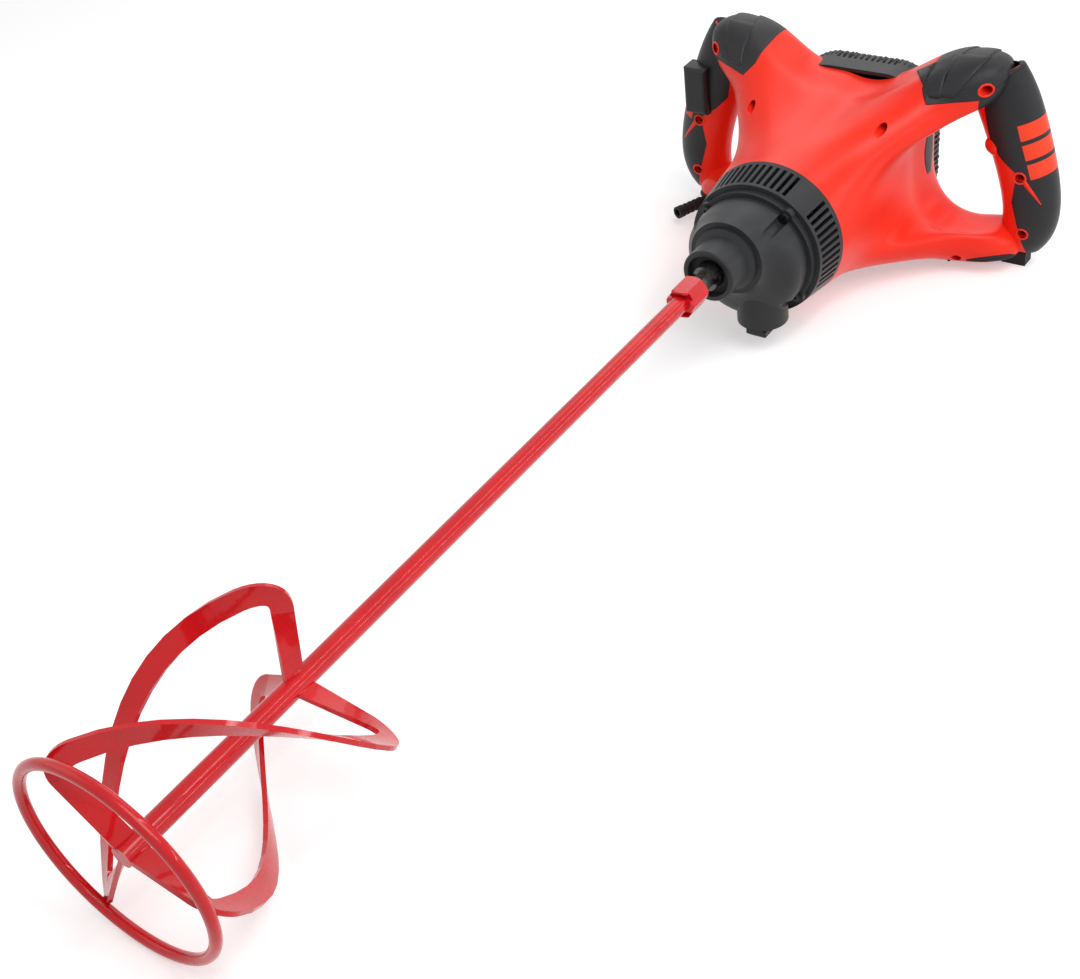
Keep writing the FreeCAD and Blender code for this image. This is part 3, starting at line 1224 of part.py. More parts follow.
def sleeve_room():
    base, tip = sleeve_ends()
    run = (tip - base).normalize()
    start = base - run * (SLEEVE_ROOT + OVERRUN)
    return Part.makeCylinder(SLEEVE_RADIUS, (tip - start).Length, start, run)


def clamp_middle():
    base, tip = sleeve_ends()
    run = (tip - base).normalize()
    return base - run * SLEEVE_ROOT


def clamp_start():
    return clamp_middle().z


def clamp_end():
    return clamp_start() + CLAMP_THICKNESS


def clamp_screw_places():
    middle = clamp_middle()
    return [(middle.x + side * CLAMP_SCREW_SPAN / 2, middle.y) for side in (-1, 1)]


def cord_clamp(cavity):
    """Bar across the cord behind the sleeve, within the arm, screwed to two bosses of the rear shell."""
    middle = clamp_middle()
    bar = block((middle.x - CLAMP_LENGTH / 2, middle.y - CLAMP_WIDTH / 2, clamp_start()),
                (middle.x + CLAMP_LENGTH / 2, middle.y + CLAMP_WIDTH / 2, clamp_end()))
    holes = [cylinder(CLAMP_SCREW_RADIUS, clamp_start() - OVERRUN, clamp_end() + OVERRUN, place)
             for place in clamp_screw_places()]
    channel = cylinder(SLEEVE_BORE, clamp_start() - OVERRUN, clamp_end() + OVERRUN, (middle.x, middle.y))
    return bar.common(cavity).cut(holes + [channel, sleeve_room()])


def cord_clamp_screws():
    screws = []
    for place in clamp_screw_places():
        head = cylinder(CLAMP_SCREW_HEAD, clamp_start() - CLAMP_SCREW_RADIUS, clamp_start(), place)
        screws.append(head.fuse(cylinder(CLAMP_SCREW_RADIUS, clamp_start(), clamp_start() + CLAMP_SCREW_LENGTH, place)))
    return Part.makeCompound(screws)


def laid_down():
    """Turn from the drawing's frame to the lying pose: +Y along the spindle to the rear, +Z up."""
    turn = FreeCAD.Rotation(V(1, 0, 0), math.degrees(LAY_TILT) - 90)
    height = RING_CENTRE_RADIUS * math.cos(LAY_TILT) + RING_TUBE / 2
    return FreeCAD.Placement(V(0, 0, height), turn)


def build_pieces():
    pieces = {}

    ring = paddle_ring()
    rod = paddle_rod()
    pieces["paddle_ring"] = ring
    pieces["paddle_rod"] = rod
    blade = paddle_blade(ring, rod)
    for index in range(BLADE_COUNT):
        pieces[f"paddle_blade_{index + 1}"] = spun(blade, 360 * index / BLADE_COUNT)
    pieces["coupling_nut"] = coupling_nut()
    pieces["drive_stud"] = drive_stud()

    pieces["gear_housing"] = gear_housing()
    pieces["gearbox_screws"] = gearbox_screws()
    pieces["selector_knob"] = selector_knob()
    pieces["bearing_plate"] = bearing_plate()
    pieces["oil_seal"] = oil_seal()
    pieces["spindle_circlip"] = spindle_circlip()
    pieces["spindle"] = spindle()
    pieces["spindle_gear"] = spindle_gear()
    pieces["layshaft"] = layshaft()
    pieces["layshaft_gear"] = layshaft_gear()
    pieces["spindle_front_bearing"] = sealed_bearing(
        NOSE_BORE, SPINDLE_RADIUS, SPINDLE_BEARING_START, SPINDLE_BEARING_LENGTH, SPINDLE_AXIS)
    pieces["spindle_rear_bearing"] = sealed_bearing(
        TAIL_BEARING_RADIUS, SPINDLE_TAIL_RADIUS, PLATE_START, TAIL_BEARING_LENGTH, SPINDLE_AXIS)
    pieces["layshaft_front_bearing"] = sealed_bearing(
        LAY_BEARING_RADIUS, LAY_END_RADIUS, LAY_FRONT_START, LAY_BEARING_LENGTH, LAY_AXIS)
    pieces["layshaft_rear_bearing"] = sealed_bearing(
        LAY_BEARING_RADIUS, LAY_END_RADIUS, PLATE_START, LAY_BEARING_LENGTH, LAY_AXIS)
    pieces["motor_front_bearing"] = sealed_bearing(
        MOTOR_BEARING_RADIUS, SHAFT_RADIUS, MOTOR_BEARING_START, MOTOR_BEARING_LENGTH, MOTOR_AXIS)
    pieces["motor_rear_bearing"] = sealed_bearing(
        MOTOR_BEARING_RADIUS, SHAFT_END_RADIUS, REAR_BEARING_START, MOTOR_BEARING_LENGTH, MOTOR_AXIS)

    pieces["armature_shaft"] = armature_shaft()
    pieces["armature_core"] = armature_core()
    pieces["armature_winding"] = armature_winding()
    pieces["commutator"] = commutator()
    pieces["cooling_fan"] = cooling_fan()
    pieces["stator_core"] = stator_core()
    pieces["field_coils"] = field_coils()
    pieces["carbon_brushes"] = carbon_brushes()
    pieces["brush_holders"] = brush_holders()
    pieces["motor_barrel"] = motor_barrel()
    pieces["rear_motor_cover"] = rear_motor_cover()

    outer = housing_form(0.0)
    cavity = housing_form(HOUSING_WALL)
    core = housing_form(GRIP_SKIN)
    under_stripes = housing_form(STRIPE_DEPTH)
    solid = housing_solid(outer, core, cavity)
    pieces["front_housing"] = housing_shell(True, solid, [trigger_room(), sleeve_room()])
    pieces["rear_housing"] = housing_shell(False, solid, [lock_button_room(), speed_dial_room()])
    controls = [trigger_room(), lock_button_room(), speed_dial_room(), sleeve_room()]
    for name, side, rooms in (("right", 1, []), ("left", -1, controls)):
        stripes = grip_stripes(outer, under_stripes, side)
        grip = soft_grip(outer, core, OUTER_GRIP_SHARES, side).cut(stripes)
        pieces[f"{name}_cap_grip"] = soft_grip(outer, core, CAP_EDGE_SHARES, side).cut(screw_wells(side))
        pieces[f"{name}_outer_grip"] = grip.cut(screw_wells(side) + rooms)
        pieces[f"{name}_grip_stripes"] = stripes.cut(screw_wells(side) + rooms)
    pad = rest_pad(outer)
    pieces["right_rest_pad"] = pad
    pieces["left_rest_pad"] = mirrored(pad)
    pieces["housing_screws"] = housing_screws()

    pieces["trigger"] = trigger()
    pieces["trigger_spring"] = return_spring(SPRING_RADIUS, TRIGGER_BACK, SWITCH_START, (TRIGGER_X, TRIGGER_Y))
    pieces["switch_body"] = switch_body(cavity)
    pieces["lock_button"] = lock_button()
    pieces["lock_button_spring"] = return_spring(
        LOCK_SPRING_RADIUS, SWITCH_END, LOCK_INNER, (LOCK_X, LOCK_Y))
    pieces["speed_dial"] = speed_dial()
    pieces["control_board"] = control_board(cavity)
    pieces["cord_sleeve"] = cord_sleeve()
    pieces["cord_clamp"] = cord_clamp(cavity)
    pieces["cord_clamp_screws"] = cord_clamp_screws()
    return pieces


def centre_on_origin(shapes):
    """Move the lying tool so that the middle of its box stands over the origin."""
    boxes = [shape.optimalBoundingBox() for shape in shapes]
    middle_x = (min(box.XMin for box in boxes) + max(box.XMax for box in boxes)) / 2
    middle_y = (min(box.YMin for box in boxes) + max(box.YMax for box in boxes)) / 2
    for shape in shapes:
        shape.translate(V(-middle_x, -middle_y, 0))


def main():
    os.makedirs("parts", exist_ok=True)
    pieces = build_pieces()
    placement = laid_down()
    for shape in pieces.values():
        shape.Placement = placement.multiply(shape.Placement)
    centre_on_origin(list(pieces.values()))
    for name, shape in pieces.items():
        shape.exportStep(os.path.join("parts", f"{name}.step"))
        print(name, len(shape.Solids), shape.isValid(), round(shape.Volume))


if __name__ == "__main__":
    main()
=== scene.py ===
import bmesh
import bpy
import json
import math
from mathutils import Matrix, Vector, noise as field
from mathutils.bvhtree import BVHTree


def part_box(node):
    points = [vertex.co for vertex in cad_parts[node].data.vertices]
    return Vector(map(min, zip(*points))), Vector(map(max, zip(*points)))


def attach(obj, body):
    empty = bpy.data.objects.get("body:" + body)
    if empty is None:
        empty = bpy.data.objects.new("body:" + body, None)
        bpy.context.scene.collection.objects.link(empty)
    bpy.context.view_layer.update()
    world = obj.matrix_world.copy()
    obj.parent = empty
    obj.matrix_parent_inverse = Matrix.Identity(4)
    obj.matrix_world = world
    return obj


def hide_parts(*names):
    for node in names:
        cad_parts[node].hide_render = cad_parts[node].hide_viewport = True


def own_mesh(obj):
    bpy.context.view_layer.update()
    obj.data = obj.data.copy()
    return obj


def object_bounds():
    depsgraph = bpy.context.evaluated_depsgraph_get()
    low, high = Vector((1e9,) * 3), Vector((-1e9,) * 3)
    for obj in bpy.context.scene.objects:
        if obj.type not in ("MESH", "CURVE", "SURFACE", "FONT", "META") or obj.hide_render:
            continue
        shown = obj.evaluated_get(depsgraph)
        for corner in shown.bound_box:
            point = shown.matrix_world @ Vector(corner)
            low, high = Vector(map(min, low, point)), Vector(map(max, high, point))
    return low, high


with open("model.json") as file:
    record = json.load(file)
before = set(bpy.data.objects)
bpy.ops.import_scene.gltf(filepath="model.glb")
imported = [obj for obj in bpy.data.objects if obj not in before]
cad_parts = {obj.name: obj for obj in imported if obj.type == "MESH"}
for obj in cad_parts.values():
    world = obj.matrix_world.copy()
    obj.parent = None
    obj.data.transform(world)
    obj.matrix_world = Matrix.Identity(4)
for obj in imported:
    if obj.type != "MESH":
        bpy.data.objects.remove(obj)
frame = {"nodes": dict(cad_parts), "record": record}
CAD_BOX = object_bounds()
NODES = frame["nodes"]

# Pose of the lying tool: the tool's own Z runs from the paddle's ring to the rear cover, its Y down
LAY_RISE = 0.028
LAY_RUN = 0.8695
LAY_TILT = math.atan2(LAY_RISE, LAY_RUN)
RING_LOW, RING_HIGH = (Vector(corner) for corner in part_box("paddle_ring"))
RING_CENTRE = (RING_LOW + RING_HIGH) / 2

# Camera of the photograph, in the tool's own axes
PHOTO_WIDTH = 1080
PHOTO_HEIGHT = 979
CAMERA_PLACE = (0.5190, -0.6162, -0.2542)
CAMERA_RIGHT = (0.822876, 0.115723, 0.556312)
CAMERA_DOWN = (0.276110, 0.774253, -0.569470)
CAMERA_FORWARD = (-0.496627, 0.622206, 0.605162)
CAMERA_LENS = 52.46
CAMERA_SENSOR = 36.0
CAMERA_CLIP = (0.01, 100.0)
FOCAL_PIXELS = CAMERA_LENS / CAMERA_SENSOR * PHOTO_WIDTH

# Light and floor
FLOOR_SIZE = 30.0
FLOOR_COLOUR = (0.80, 0.80, 0.80)
FLOOR_DEEP_SHARE = 0.99
FLOOR_ROUGHNESS = 0.9
FLOOR_NOISE_SCALE = 3.0
FLOOR_NOISE_DETAIL = 3.0
FLOOR_GLOW = 0.40
WORLD_STRENGTH = 0.42
WHITE = (1.0, 1.0, 1.0, 1.0)

# Each soft light: its place, what it points at, its size and its power
SOFT_LIGHTS = {
    "key": ((0.9, -0.3, 1.6), (0.0, 0.25, 0.1), 1.2, 16.0),
    "fill": ((-1.4, -0.9, 1.2), (0.0, 0.2, 0.1), 1.4, 4.0),
    "rim": ((-0.4, 1.5, 1.2), (0.0, 0.3, 0.1), 1.0, 4.0),
}

# Long narrow lights beside the rod
STRIP_POWER = 3.5
STRIP_LENGTH = 1.9
STRIP_WIDTH = 0.06
STRIP_REACH = 1.2
STRIP_MIDDLE = 0.72
STRIP_ANGLES = (math.radians(62), math.radians(18))

# Nodes that the details lie on
HOUSINGS = ("front_housing", "rear_housing")
GRIPS = ("right_cap_grip", "left_cap_grip", "right_outer_grip", "left_outer_grip")

# Soft grips
GRIP_SKIN = 0.0016
GRIP_VOXEL = 0.00055
GRIP_SMOOTHING = 3
SKIN_LEAST = 0.0006
STEP_DEPTH = 0.0012
STEP_EDGE = 0.0009
STEP_RUN = 0.017
CAP_STEP_PIXELS = (((931, 93), (955, 60)), ((955, 95), (987, 58)))

# Screw holes in the grips and the flash on the outer grips
RIM_RADIUS = 0.0046
RIM_TUBE = 0.0009
RIM_SINK = 0.0004
RIM_POINTS = 40
RIM_SIDES = 10
FLASH_PIXELS = ((1020, 177), (1029, 189), (1036, 198), (1042, 206))
FLASH_START_HALF = 0.0022
FLASH_END_HALF = 0.0004
FLASH_PROUD = 0.0004
FLASH_SINK = 0.0006
FLASH_STEPS = 6

# Plates laid on the housing: those on the caps and between the grips are set by lines of pixels
PATCH_ROWS = 20
PATCH_COLUMNS = 14
PATCH_SINK = 0.0012
PATCH_BORDER_SHARE = 0.45
NORMAL_WINDOW = 2
BOX_MARGIN = 0.0001
CORNER_PLATE_PIXELS = (((929, 98), (923, 86), (917, 71)), ((940, 99), (946, 78), (958, 53)))
CAP_PLATE_PIXELS = (((936, 97), (958, 54)), ((953, 98), (992, 57)))
CAP_PLATE_LIFTS = (0.0017, 0.0024)
SEAM_PIXELS = (((996, 94), (1002, 76), (1006, 60)), ((1010, 92), (1021, 76), (1028, 62)))
SEAM_LIFTS = (0.0013, 0.0013)

# Vents in the body's sides, set by the tool's own axes
VENT_LIFTS = (0.0003, 0.0003)
VENT_ENDS = (-0.015, 0.027)
VENT_EDGES = (0.852, 0.868)
VENT_TAPER_SHARE = 0.12
LOOP_MIDDLE = 0.095

# Edge strips of the rest pads and the finger stop in the right handle
PAD_EDGE_PIXELS = (((928, 259), (950, 260)), ((966, 260), (985, 259), (1004, 257), (1016, 255)))
PAD_EDGE_RADIUS = 0.0030
PAD_EDGE_SINK = 0.0006
PAD_EDGE_TAPER = 2
PAD_EDGE_STEPS = 12
PAD_EDGE_SIDES = 14
FINGER_STOP_PIXEL = (996, 147)
FINGER_STOP_SIZE = (0.0105, 0.0092, 0.0066)
FINGER_STOP_DEPTH = 0.004
FINGER_STOP_PARTS = 24

# Fine ribs round the rear cover
COVER_RIB_PITCH = 0.0042
COVER_RIB_RADIUS = 0.0011
COVER_RIB_SINK = 0.0005
COVER_RIB_FRONT = 0.011
COVER_RIB_BACK = 0.0035
COVER_RIB_LEVELS = 5
COVER_RIB_CLEAR = 0.012
COVER_RIB_SIDES = 8
COVER_ANGLES = 1440

# Return springs of the trigger and the lock button
SPRING_WIRE = 0.0003
SPRING_TURNS = 4
SPRING_TURN_POINTS = 24
SPRING_SIDES = 8

# Weld beads of the paddle
WELD_RADIUS = 0.0017
WELD_REACH = 0.0022
WELD_RINGS = 22
WELD_SIDES = 12
WELD_WAVE_SHARE = 0.28
WELD_WAVE_STEP = 0.9
WELD_END_SHARE = 0.15
WELD_END_POWER = 6
WELD_SEED_STEP = 7.3
WELD_PARTING = 0.07
BLADE_COUNT = 3

# Noise: its roughness, the part of its range that is used, and the scale of one that isn't stretched
NOISE_ROUGHNESS = 0.55
NOISE_LOW = 0.3
NOISE_HIGH = 0.7
EVEN = (1.0, 1.0, 1.0)

# Plastics: light and dark shade, roughness and strength of the grain
PLASTIC_SPECULAR = 0.24
PLASTIC_SHADE_SCALE = 14.0
PLASTIC_SHADE_DETAIL = 3.0
PLASTIC_GRAIN_SCALE = 1500.0
PLASTIC_GRAIN_DETAIL = 2.0
PLASTIC_GRAIN_DEPTH = 0.0004
PLASTIC_SMOOTHER = 0.05
PLASTIC_ROUGHER = 0.06
PLASTICS = {
    "red_plastic": ((0.92, 0.032, 0.012), (0.86, 0.022, 0.008), 0.34, 0.10),
    "stripe_plastic": ((0.90, 0.060, 0.020), (0.84, 0.048, 0.016), 0.38, 0.10),
    "dark_plastic": ((0.028, 0.029, 0.031), (0.018, 0.019, 0.021), 0.40, 0.35),
    "grip_rubber": ((0.021, 0.021, 0.023), (0.013, 0.013, 0.015), 0.40, 0.40),
    "soft_rubber": ((0.015, 0.015, 0.017), (0.010, 0.010, 0.012), 0.60, 0.45),
    "carbon": ((0.022, 0.022, 0.022), (0.012, 0.012, 0.012), 0.70, 0.60),
}

# Metals: light and dark shade, roughness and how the machining marks stretch along each axis
METAL_MARK_SCALE = 600.0
METAL_MARK_DETAIL = 5.0
METAL_MARK_ROUGHNESS = 0.65
METAL_MARK_STRENGTH = 0.15
METAL_MARK_DEPTH = 0.0002
METAL_SMOOTHER = 0.06
METAL_ROUGHER = 0.08
METALS = {
    "dark_steel": ((0.18, 0.175, 0.17), (0.07, 0.068, 0.065), 0.36, (1.0, 0.15, 1.0)),
    "bright_steel": ((0.66, 0.66, 0.67), (0.48, 0.48, 0.50), 0.28, (1.0, 0.1, 1.0)),
    "black_steel": ((0.06, 0.06, 0.065), (0.03, 0.03, 0.033), 0.42, EVEN),
    "plate_aluminium": ((0.70, 0.70, 0.71), (0.55, 0.55, 0.57), 0.45, EVEN),
    "core_iron": ((0.30, 0.30, 0.32), (0.18, 0.18, 0.19), 0.50, (0.05, 3.0, 0.05)),
    "copper_winding": ((0.62, 0.24, 0.09), (0.40, 0.13, 0.045), 0.35, (0.1, 2.0, 0.1)),
    "copper_bars": ((0.72, 0.36, 0.18), (0.55, 0.25, 0.11), 0.30, (1.0, 0.1, 1.0)),
}

# Enamel of the paddle
ENAMEL_LIGHT = (0.66, 0.006, 0.010)
ENAMEL_DARK = (0.56, 0.004, 0.008)
ENAMEL_SPECULAR = 0.12
ENAMEL_COAT = 0.50
ENAMEL_COAT_ROUGHNESS = 0.07
ENAMEL_SHADE_SCALE = 30.0
ENAMEL_SHADE_DETAIL = 4.0
ENAMEL_PEEL_SCALE = 160.0
ENAMEL_PEEL_DETAIL = 1.0
ENAMEL_PEEL_STRENGTH = 0.03
ENAMEL_PEEL_DEPTH = 0.0008
ENAMEL_SMOOTHEST = 0.24
ENAMEL_ROUGHEST = 0.30

# Search lines start this far along the tool's axis, or this far out from it, clear of the housing
FAR = 0.4

# Vertices closer than this count as one
MERGE_DISTANCE = 0.000011


# Frames of reference

def scene_direction(vector):
    """Direction in the scene's frame of one given in the tool's own axes."""
    x, y, z = vector
    return Vector((
        x,
        z * math.cos(LAY_TILT) + y * math.sin(LAY_TILT),
        z * math.sin(LAY_TILT) - y * math.cos(LAY_TILT),
    ))


def scene_point(point):
    """Place in the scene's frame of one given in the tool's own axes."""
    return RING_CENTRE + scene_direction(point)


TOOL_AXES = tuple(scene_direction(axis) for axis in ((1, 0, 0), (0, 1, 0), (0, 0, 1)))


def tool_direction(vector):
    """Direction in the tool's own axes of one given in the scene's frame."""
    return Vector([vector.dot(axis) for axis in TOOL_AXES])


def tool_point(place):
    """Place in the tool's own axes of one given in the scene's frame."""
    return tool_direction(place - RING_CENTRE)


def mirrored(vector):
    """The same on the other side of the tool, in the tool's own axes."""
    return Vector((-vector[0], vector[1], vector[2]))


def tool_box(node):
    """Lowest and highest corner of a node in the tool's own axes."""
    points = [tool_point(vertex.co) for vertex in NODES[node].data.vertices]
    low = Vector([min(point[axis] for point in points) for axis in range(3)])
    high = Vector([max(point[axis] for point in points) for axis in range(3)])
    return low, high


# Surfaces of the nodes

def surface_of(*names):
    """Search tree over the meshes of the named nodes."""
    vertices = []
    faces = []
    for name in names:
        mesh = NODES[name].data
        start = len(vertices)
        vertices.extend(vertex.co.copy() for vertex in mesh.vertices)
        faces.extend([start + index for index in face.vertices] for face in mesh.polygons)
    return BVHTree.FromPolygons(vertices, faces)


def first_hit(surface, start, direction):
    """Place and normal where a line first meets a surface, or None for both."""
    return surface.ray_cast(start, direction)[:2]


def photo_hit(surface, pixel):
    """Place and normal where the line of sight through a pixel of the photograph meets a surface."""
    across = (pixel[0] - PHOTO_WIDTH / 2) / FOCAL_PIXELS
    down = (pixel[1] - PHOTO_HEIGHT / 2) / FOCAL_PIXELS
    sight = Vector(CAMERA_FORWARD) + across * Vector(CAMERA_RIGHT) + down * Vector(CAMERA_DOWN)
    return first_hit(surface, scene_point(CAMERA_PLACE), scene_direction(sight))


def front_hit(surface, x, y):
    """Place and normal that a line along the tool's axis meets first, coming from the paddle."""
    return first_hit(surface, scene_point((x, y, FAR)), TOOL_AXES[2])


def islands(node):
    """Vertices of a node, one list for each of its separate solids, in the same order on each run."""
    shape = bmesh.new()
    shape.from_mesh(NODES[node].data)
    bmesh.ops.remove_doubles(shape, verts=shape.verts, dist=MERGE_DISTANCE)
    seen = set()
    groups = []
    for first in shape.verts:
        if first in seen:
            continue
        seen.add(first)
        group = []
        open_ends = [first]
        while open_ends:
            vertex = open_ends.pop()
            group.append(vertex.co.copy())
            for edge in vertex.link_edges:
                other = edge.other_vert(vertex)
                if other not in seen:
                    seen.add(other)
                    open_ends.append(other)
        groups.append(group)
    shape.free()
    return groups


def middle(points):
    """Mean of some places."""
    return sum(points, Vector((0.0, 0.0, 0.0))) / len(points)


# New pieces

def add_piece(name, mesh, body, slot):
    """Piece of the scene that rides on a body and takes the finish of a slot."""
    piece = bpy.data.objects.new(name, mesh)
    bpy.context.scene.collection.objects.link(piece)
    mesh.materials.clear()
    mesh.materials.append(MATERIALS[slot])
    for face in mesh.polygons:
        face.use_smooth = True
    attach(piece, body)
    return piece


def finish_mesh(name, shape):
    """Mesh made from a shape, which is then freed."""
    bmesh.ops.recalc_face_normals(shape, faces=shape.faces)
    mesh = bpy.data.meshes.new(name)
    shape.to_mesh(mesh)
    shape.free()
    return mesh


def add_rings(shape, rings, closed):
    """Skin through rings of places, closed into a loop or capped at both ends."""
    grown = [[shape.verts.new(place) for place in ring] for ring in rings]
    count = len(grown[0])
    last = len(grown) if closed else len(grown) - 1
    for index in range(last):
        ring = grown[index]
        following = grown[(index + 1) % len(grown)]
        for side in range(count):
            beside = (side + 1) % count
            shape.faces.new((ring[side], ring[beside], following[beside], following[side]))
    if not closed:
        shape.faces.new(grown[0])
        shape.faces.new(grown[-1])


def tube_rings(points, normals, radii, sides, closed):
    """Rings of places round a line of points, each ring square to the line."""
    rings = []
    count = len(points)
    for index, point in enumerate(points):
        before = points[index - 1] if closed or index > 0 else point
        after = points[(index + 1) % count] if closed or index < count - 1 else point
        along = (after - before).normalized()
        across = along.cross(normals[index]).normalized()
        up = across.cross(along)
        ring = []
        for side in range(sides):
            angle = 2 * math.pi * side / sides
            ring.append(point + radii[index] * (math.cos(angle) * across + math.sin(angle) * up))
        rings.append(ring)
    return rings


# Material helpers

def new_material(name):
    """Material with its nodes, links and shader."""
    material = bpy.data.materials.new(name)
    material.use_nodes = True
    nodes = material.node_tree.nodes
    return material, nodes, material.node_tree.links, nodes["Principled BSDF"]


def texture_place(nodes, links, scale):
    """Object coordinates, stretched along each axis."""
    place = nodes.new("ShaderNodeTexCoord")
    mapping = nodes.new("ShaderNodeMapping")
    mapping.inputs["Scale"].default_value = scale
    links.new(place.outputs["Object"], mapping.inputs["Vector"])
    return mapping.outputs["Vector"]


def noise(nodes, links, vector, scale, detail, roughness=NOISE_ROUGHNESS):
    """Grey noise, with its features about one over the scale across."""
    node = nodes.new("ShaderNodeTexNoise")
    node.inputs["Scale"].default_value = scale
    node.inputs["Detail"].default_value = detail
    node.inputs["Roughness"].default_value = roughness
    links.new(vector, node.inputs["Vector"])
    return node.outputs["Fac"]


def spread(nodes, links, value, low, high):
    """The middle range of some noise, brought to run from low to high."""
    node = nodes.new("ShaderNodeMapRange")
    node.inputs["From Min"].default_value = NOISE_LOW
    node.inputs["From Max"].default_value = NOISE_HIGH
    node.inputs["To Min"].default_value = low
    node.inputs["To Max"].default_value = high
    links.new(value, node.inputs["Value"])
    return node.outputs["Result"]


def mix_colour(nodes, links, factor, first, second):
    """Colour between two, by a factor."""
    node = nodes.new("ShaderNodeMix")
    node.data_type = "RGBA"
    node.inputs["A"].default_value = (*first, 1.0)
    node.inputs["B"].default_value = (*second, 1.0)
    links.new(factor, node.inputs["Factor"])
    return node.outputs["Result"]


def bump(nodes, links, height, strength, distance):
    """Normal of a surface raised by some noise."""
    node = nodes.new("ShaderNodeBump")
    node.inputs["Strength"].default_value = strength
    node.inputs["Distance"].default_value = distance
    links.new(height, node.inputs["Height"])
    return node.outputs["Normal"]


def moulded_plastic(name, light, dark, rough, grain):
    """Plastic with a fine moulded grain and a slow change of shade."""
    material, nodes, links, shader = new_material(name)
    shader.inputs["Specular IOR Level"].default_value = PLASTIC_SPECULAR
    vector = texture_place(nodes, links, EVEN)
    slow = noise(nodes, links, vector, PLASTIC_SHADE_SCALE, PLASTIC_SHADE_DETAIL)
    shade = spread(nodes, links, slow, 0.0, 1.0)
    links.new(mix_colour(nodes, links, shade, dark, light), shader.inputs["Base Color"])
    fine = noise(nodes, links, vector, PLASTIC_GRAIN_SCALE, PLASTIC_GRAIN_DETAIL)
    gloss = spread(nodes, links, fine, rough - PLASTIC_SMOOTHER, rough + PLASTIC_ROUGHER)
    links.new(gloss, shader.inputs["Roughness"])
    links.new(bump(nodes, links, fine, grain, PLASTIC_GRAIN_DEPTH), shader.inputs["Normal"])
    return material


def enamel(name):
    """Glossy enamel on steel with a soft orange peel."""
    material, nodes, links, shader = new_material(name)
    vector = texture_place(nodes, links, EVEN)
    slow = noise(nodes, links, vector, ENAMEL_SHADE_SCALE, ENAMEL_SHADE_DETAIL)
    shade = spread(nodes, links, slow, 0.0, 1.0)
    colour = mix_colour(nodes, links, shade, ENAMEL_DARK, ENAMEL_LIGHT)
    links.new(colour, shader.inputs["Base Color"])
    peel = noise(nodes, links, vector, ENAMEL_PEEL_SCALE, ENAMEL_PEEL_DETAIL)
    gloss = spread(nodes, links, peel, ENAMEL_SMOOTHEST, ENAMEL_ROUGHEST)
    links.new(gloss, shader.inputs["Roughness"])
    raised = bump(nodes, links, peel, ENAMEL_PEEL_STRENGTH, ENAMEL_PEEL_DEPTH)
    links.new(raised, shader.inputs["Normal"])
    shader.inputs["Specular IOR Level"].default_value = ENAMEL_SPECULAR
    shader.inputs["Coat Weight"].default_value = ENAMEL_COAT
    shader.inputs["Coat Roughness"].default_value = ENAMEL_COAT_ROUGHNESS
    return material


def worked_metal(name, light, dark, rough, stretch):
    """Metal with machining marks drawn out along one axis."""
    material, nodes, links, shader = new_material(name)
    vector = texture_place(nodes, links, stretch)
    marks = noise(nodes, links, vector, METAL_MARK_SCALE, METAL_MARK_DETAIL, METAL_MARK_ROUGHNESS)
    shade = spread(nodes, links, marks, 0.0, 1.0)
    links.new(mix_colour(nodes, links, shade, dark, light), shader.inputs["Base Color"])
    gloss = spread(nodes, links, marks, rough - METAL_SMOOTHER, rough + METAL_ROUGHER)
    links.new(gloss, shader.inputs["Roughness"])
    raised = bump(nodes, links, marks, METAL_MARK_STRENGTH, METAL_MARK_DEPTH)
    links.new(raised, shader.inputs["Normal"])
    shader.inputs["Metallic"].default_value = 1.0
    return material


def make_materials():
    """Every material by the name of its slot."""
    made = {name: moulded_plastic(name, *values) for name, values in PLASTICS.items()}
    made.update({name: worked_metal(name, *values) for name, values in METALS.items()})
    made["red_enamel"] = enamel("red_enamel")
    return made


def dress_frame():
    """Gives each CAD node the material of its slot."""
    slots = {entry["node"]: entry["material_slot"] for entry in frame["record"]["subparts"]}
    for name, node in NODES.items():
        node.data.materials.clear()
        node.data.materials.append(MATERIALS[slots[name]])


# Soft grips with rounded edges, and diagonal steps on the caps

def remeshed(node):
    """Dense mesh of a node with its edges rounded off."""
    holder = bpy.data.objects.new(node + "_dense", NODES[node].data.copy())
    bpy.context.scene.collection.objects.link(holder)
    dense = holder.modifiers.new("dense", "REMESH")
    dense.mode = "VOXEL"
    dense.voxel_size = GRIP_VOXEL
    soften = holder.modifiers.new("soften", "SMOOTH")
    soften.iterations = GRIP_SMOOTHING
    bpy.context.view_layer.update()
    depsgraph = bpy.context.evaluated_depsgraph_get()
    mesh = bpy.data.meshes.new_from_object(holder.evaluated_get(depsgraph))
    bpy.data.objects.remove(holder)
    return mesh


def step_planes():
    """Place and cross direction of each step on the right cap, in the tool's own axes."""
    surface = surface_of("right_cap_grip")
    planes = []
    for low_pixel, high_pixel in CAP_STEP_PIXELS:
        low, low_normal = photo_hit(surface, low_pixel)
        high, high_normal = photo_hit(surface, high_pixel)
        across = (high - low).cross(low_normal + high_normal)
        across = tool_direction(across).normalized()
        planes.append((tool_point((low + high) / 2), across if across.x > 0 else -across))
    return planes


def step_depth(distance):
    """Depth of a step: sharp at its line, then rising back over its run."""
    if distance < 0 or distance > STEP_RUN:
        return 0.0
    return STEP_DEPTH * min(1.0, distance / STEP_EDGE) * (1 - distance / STEP_RUN)


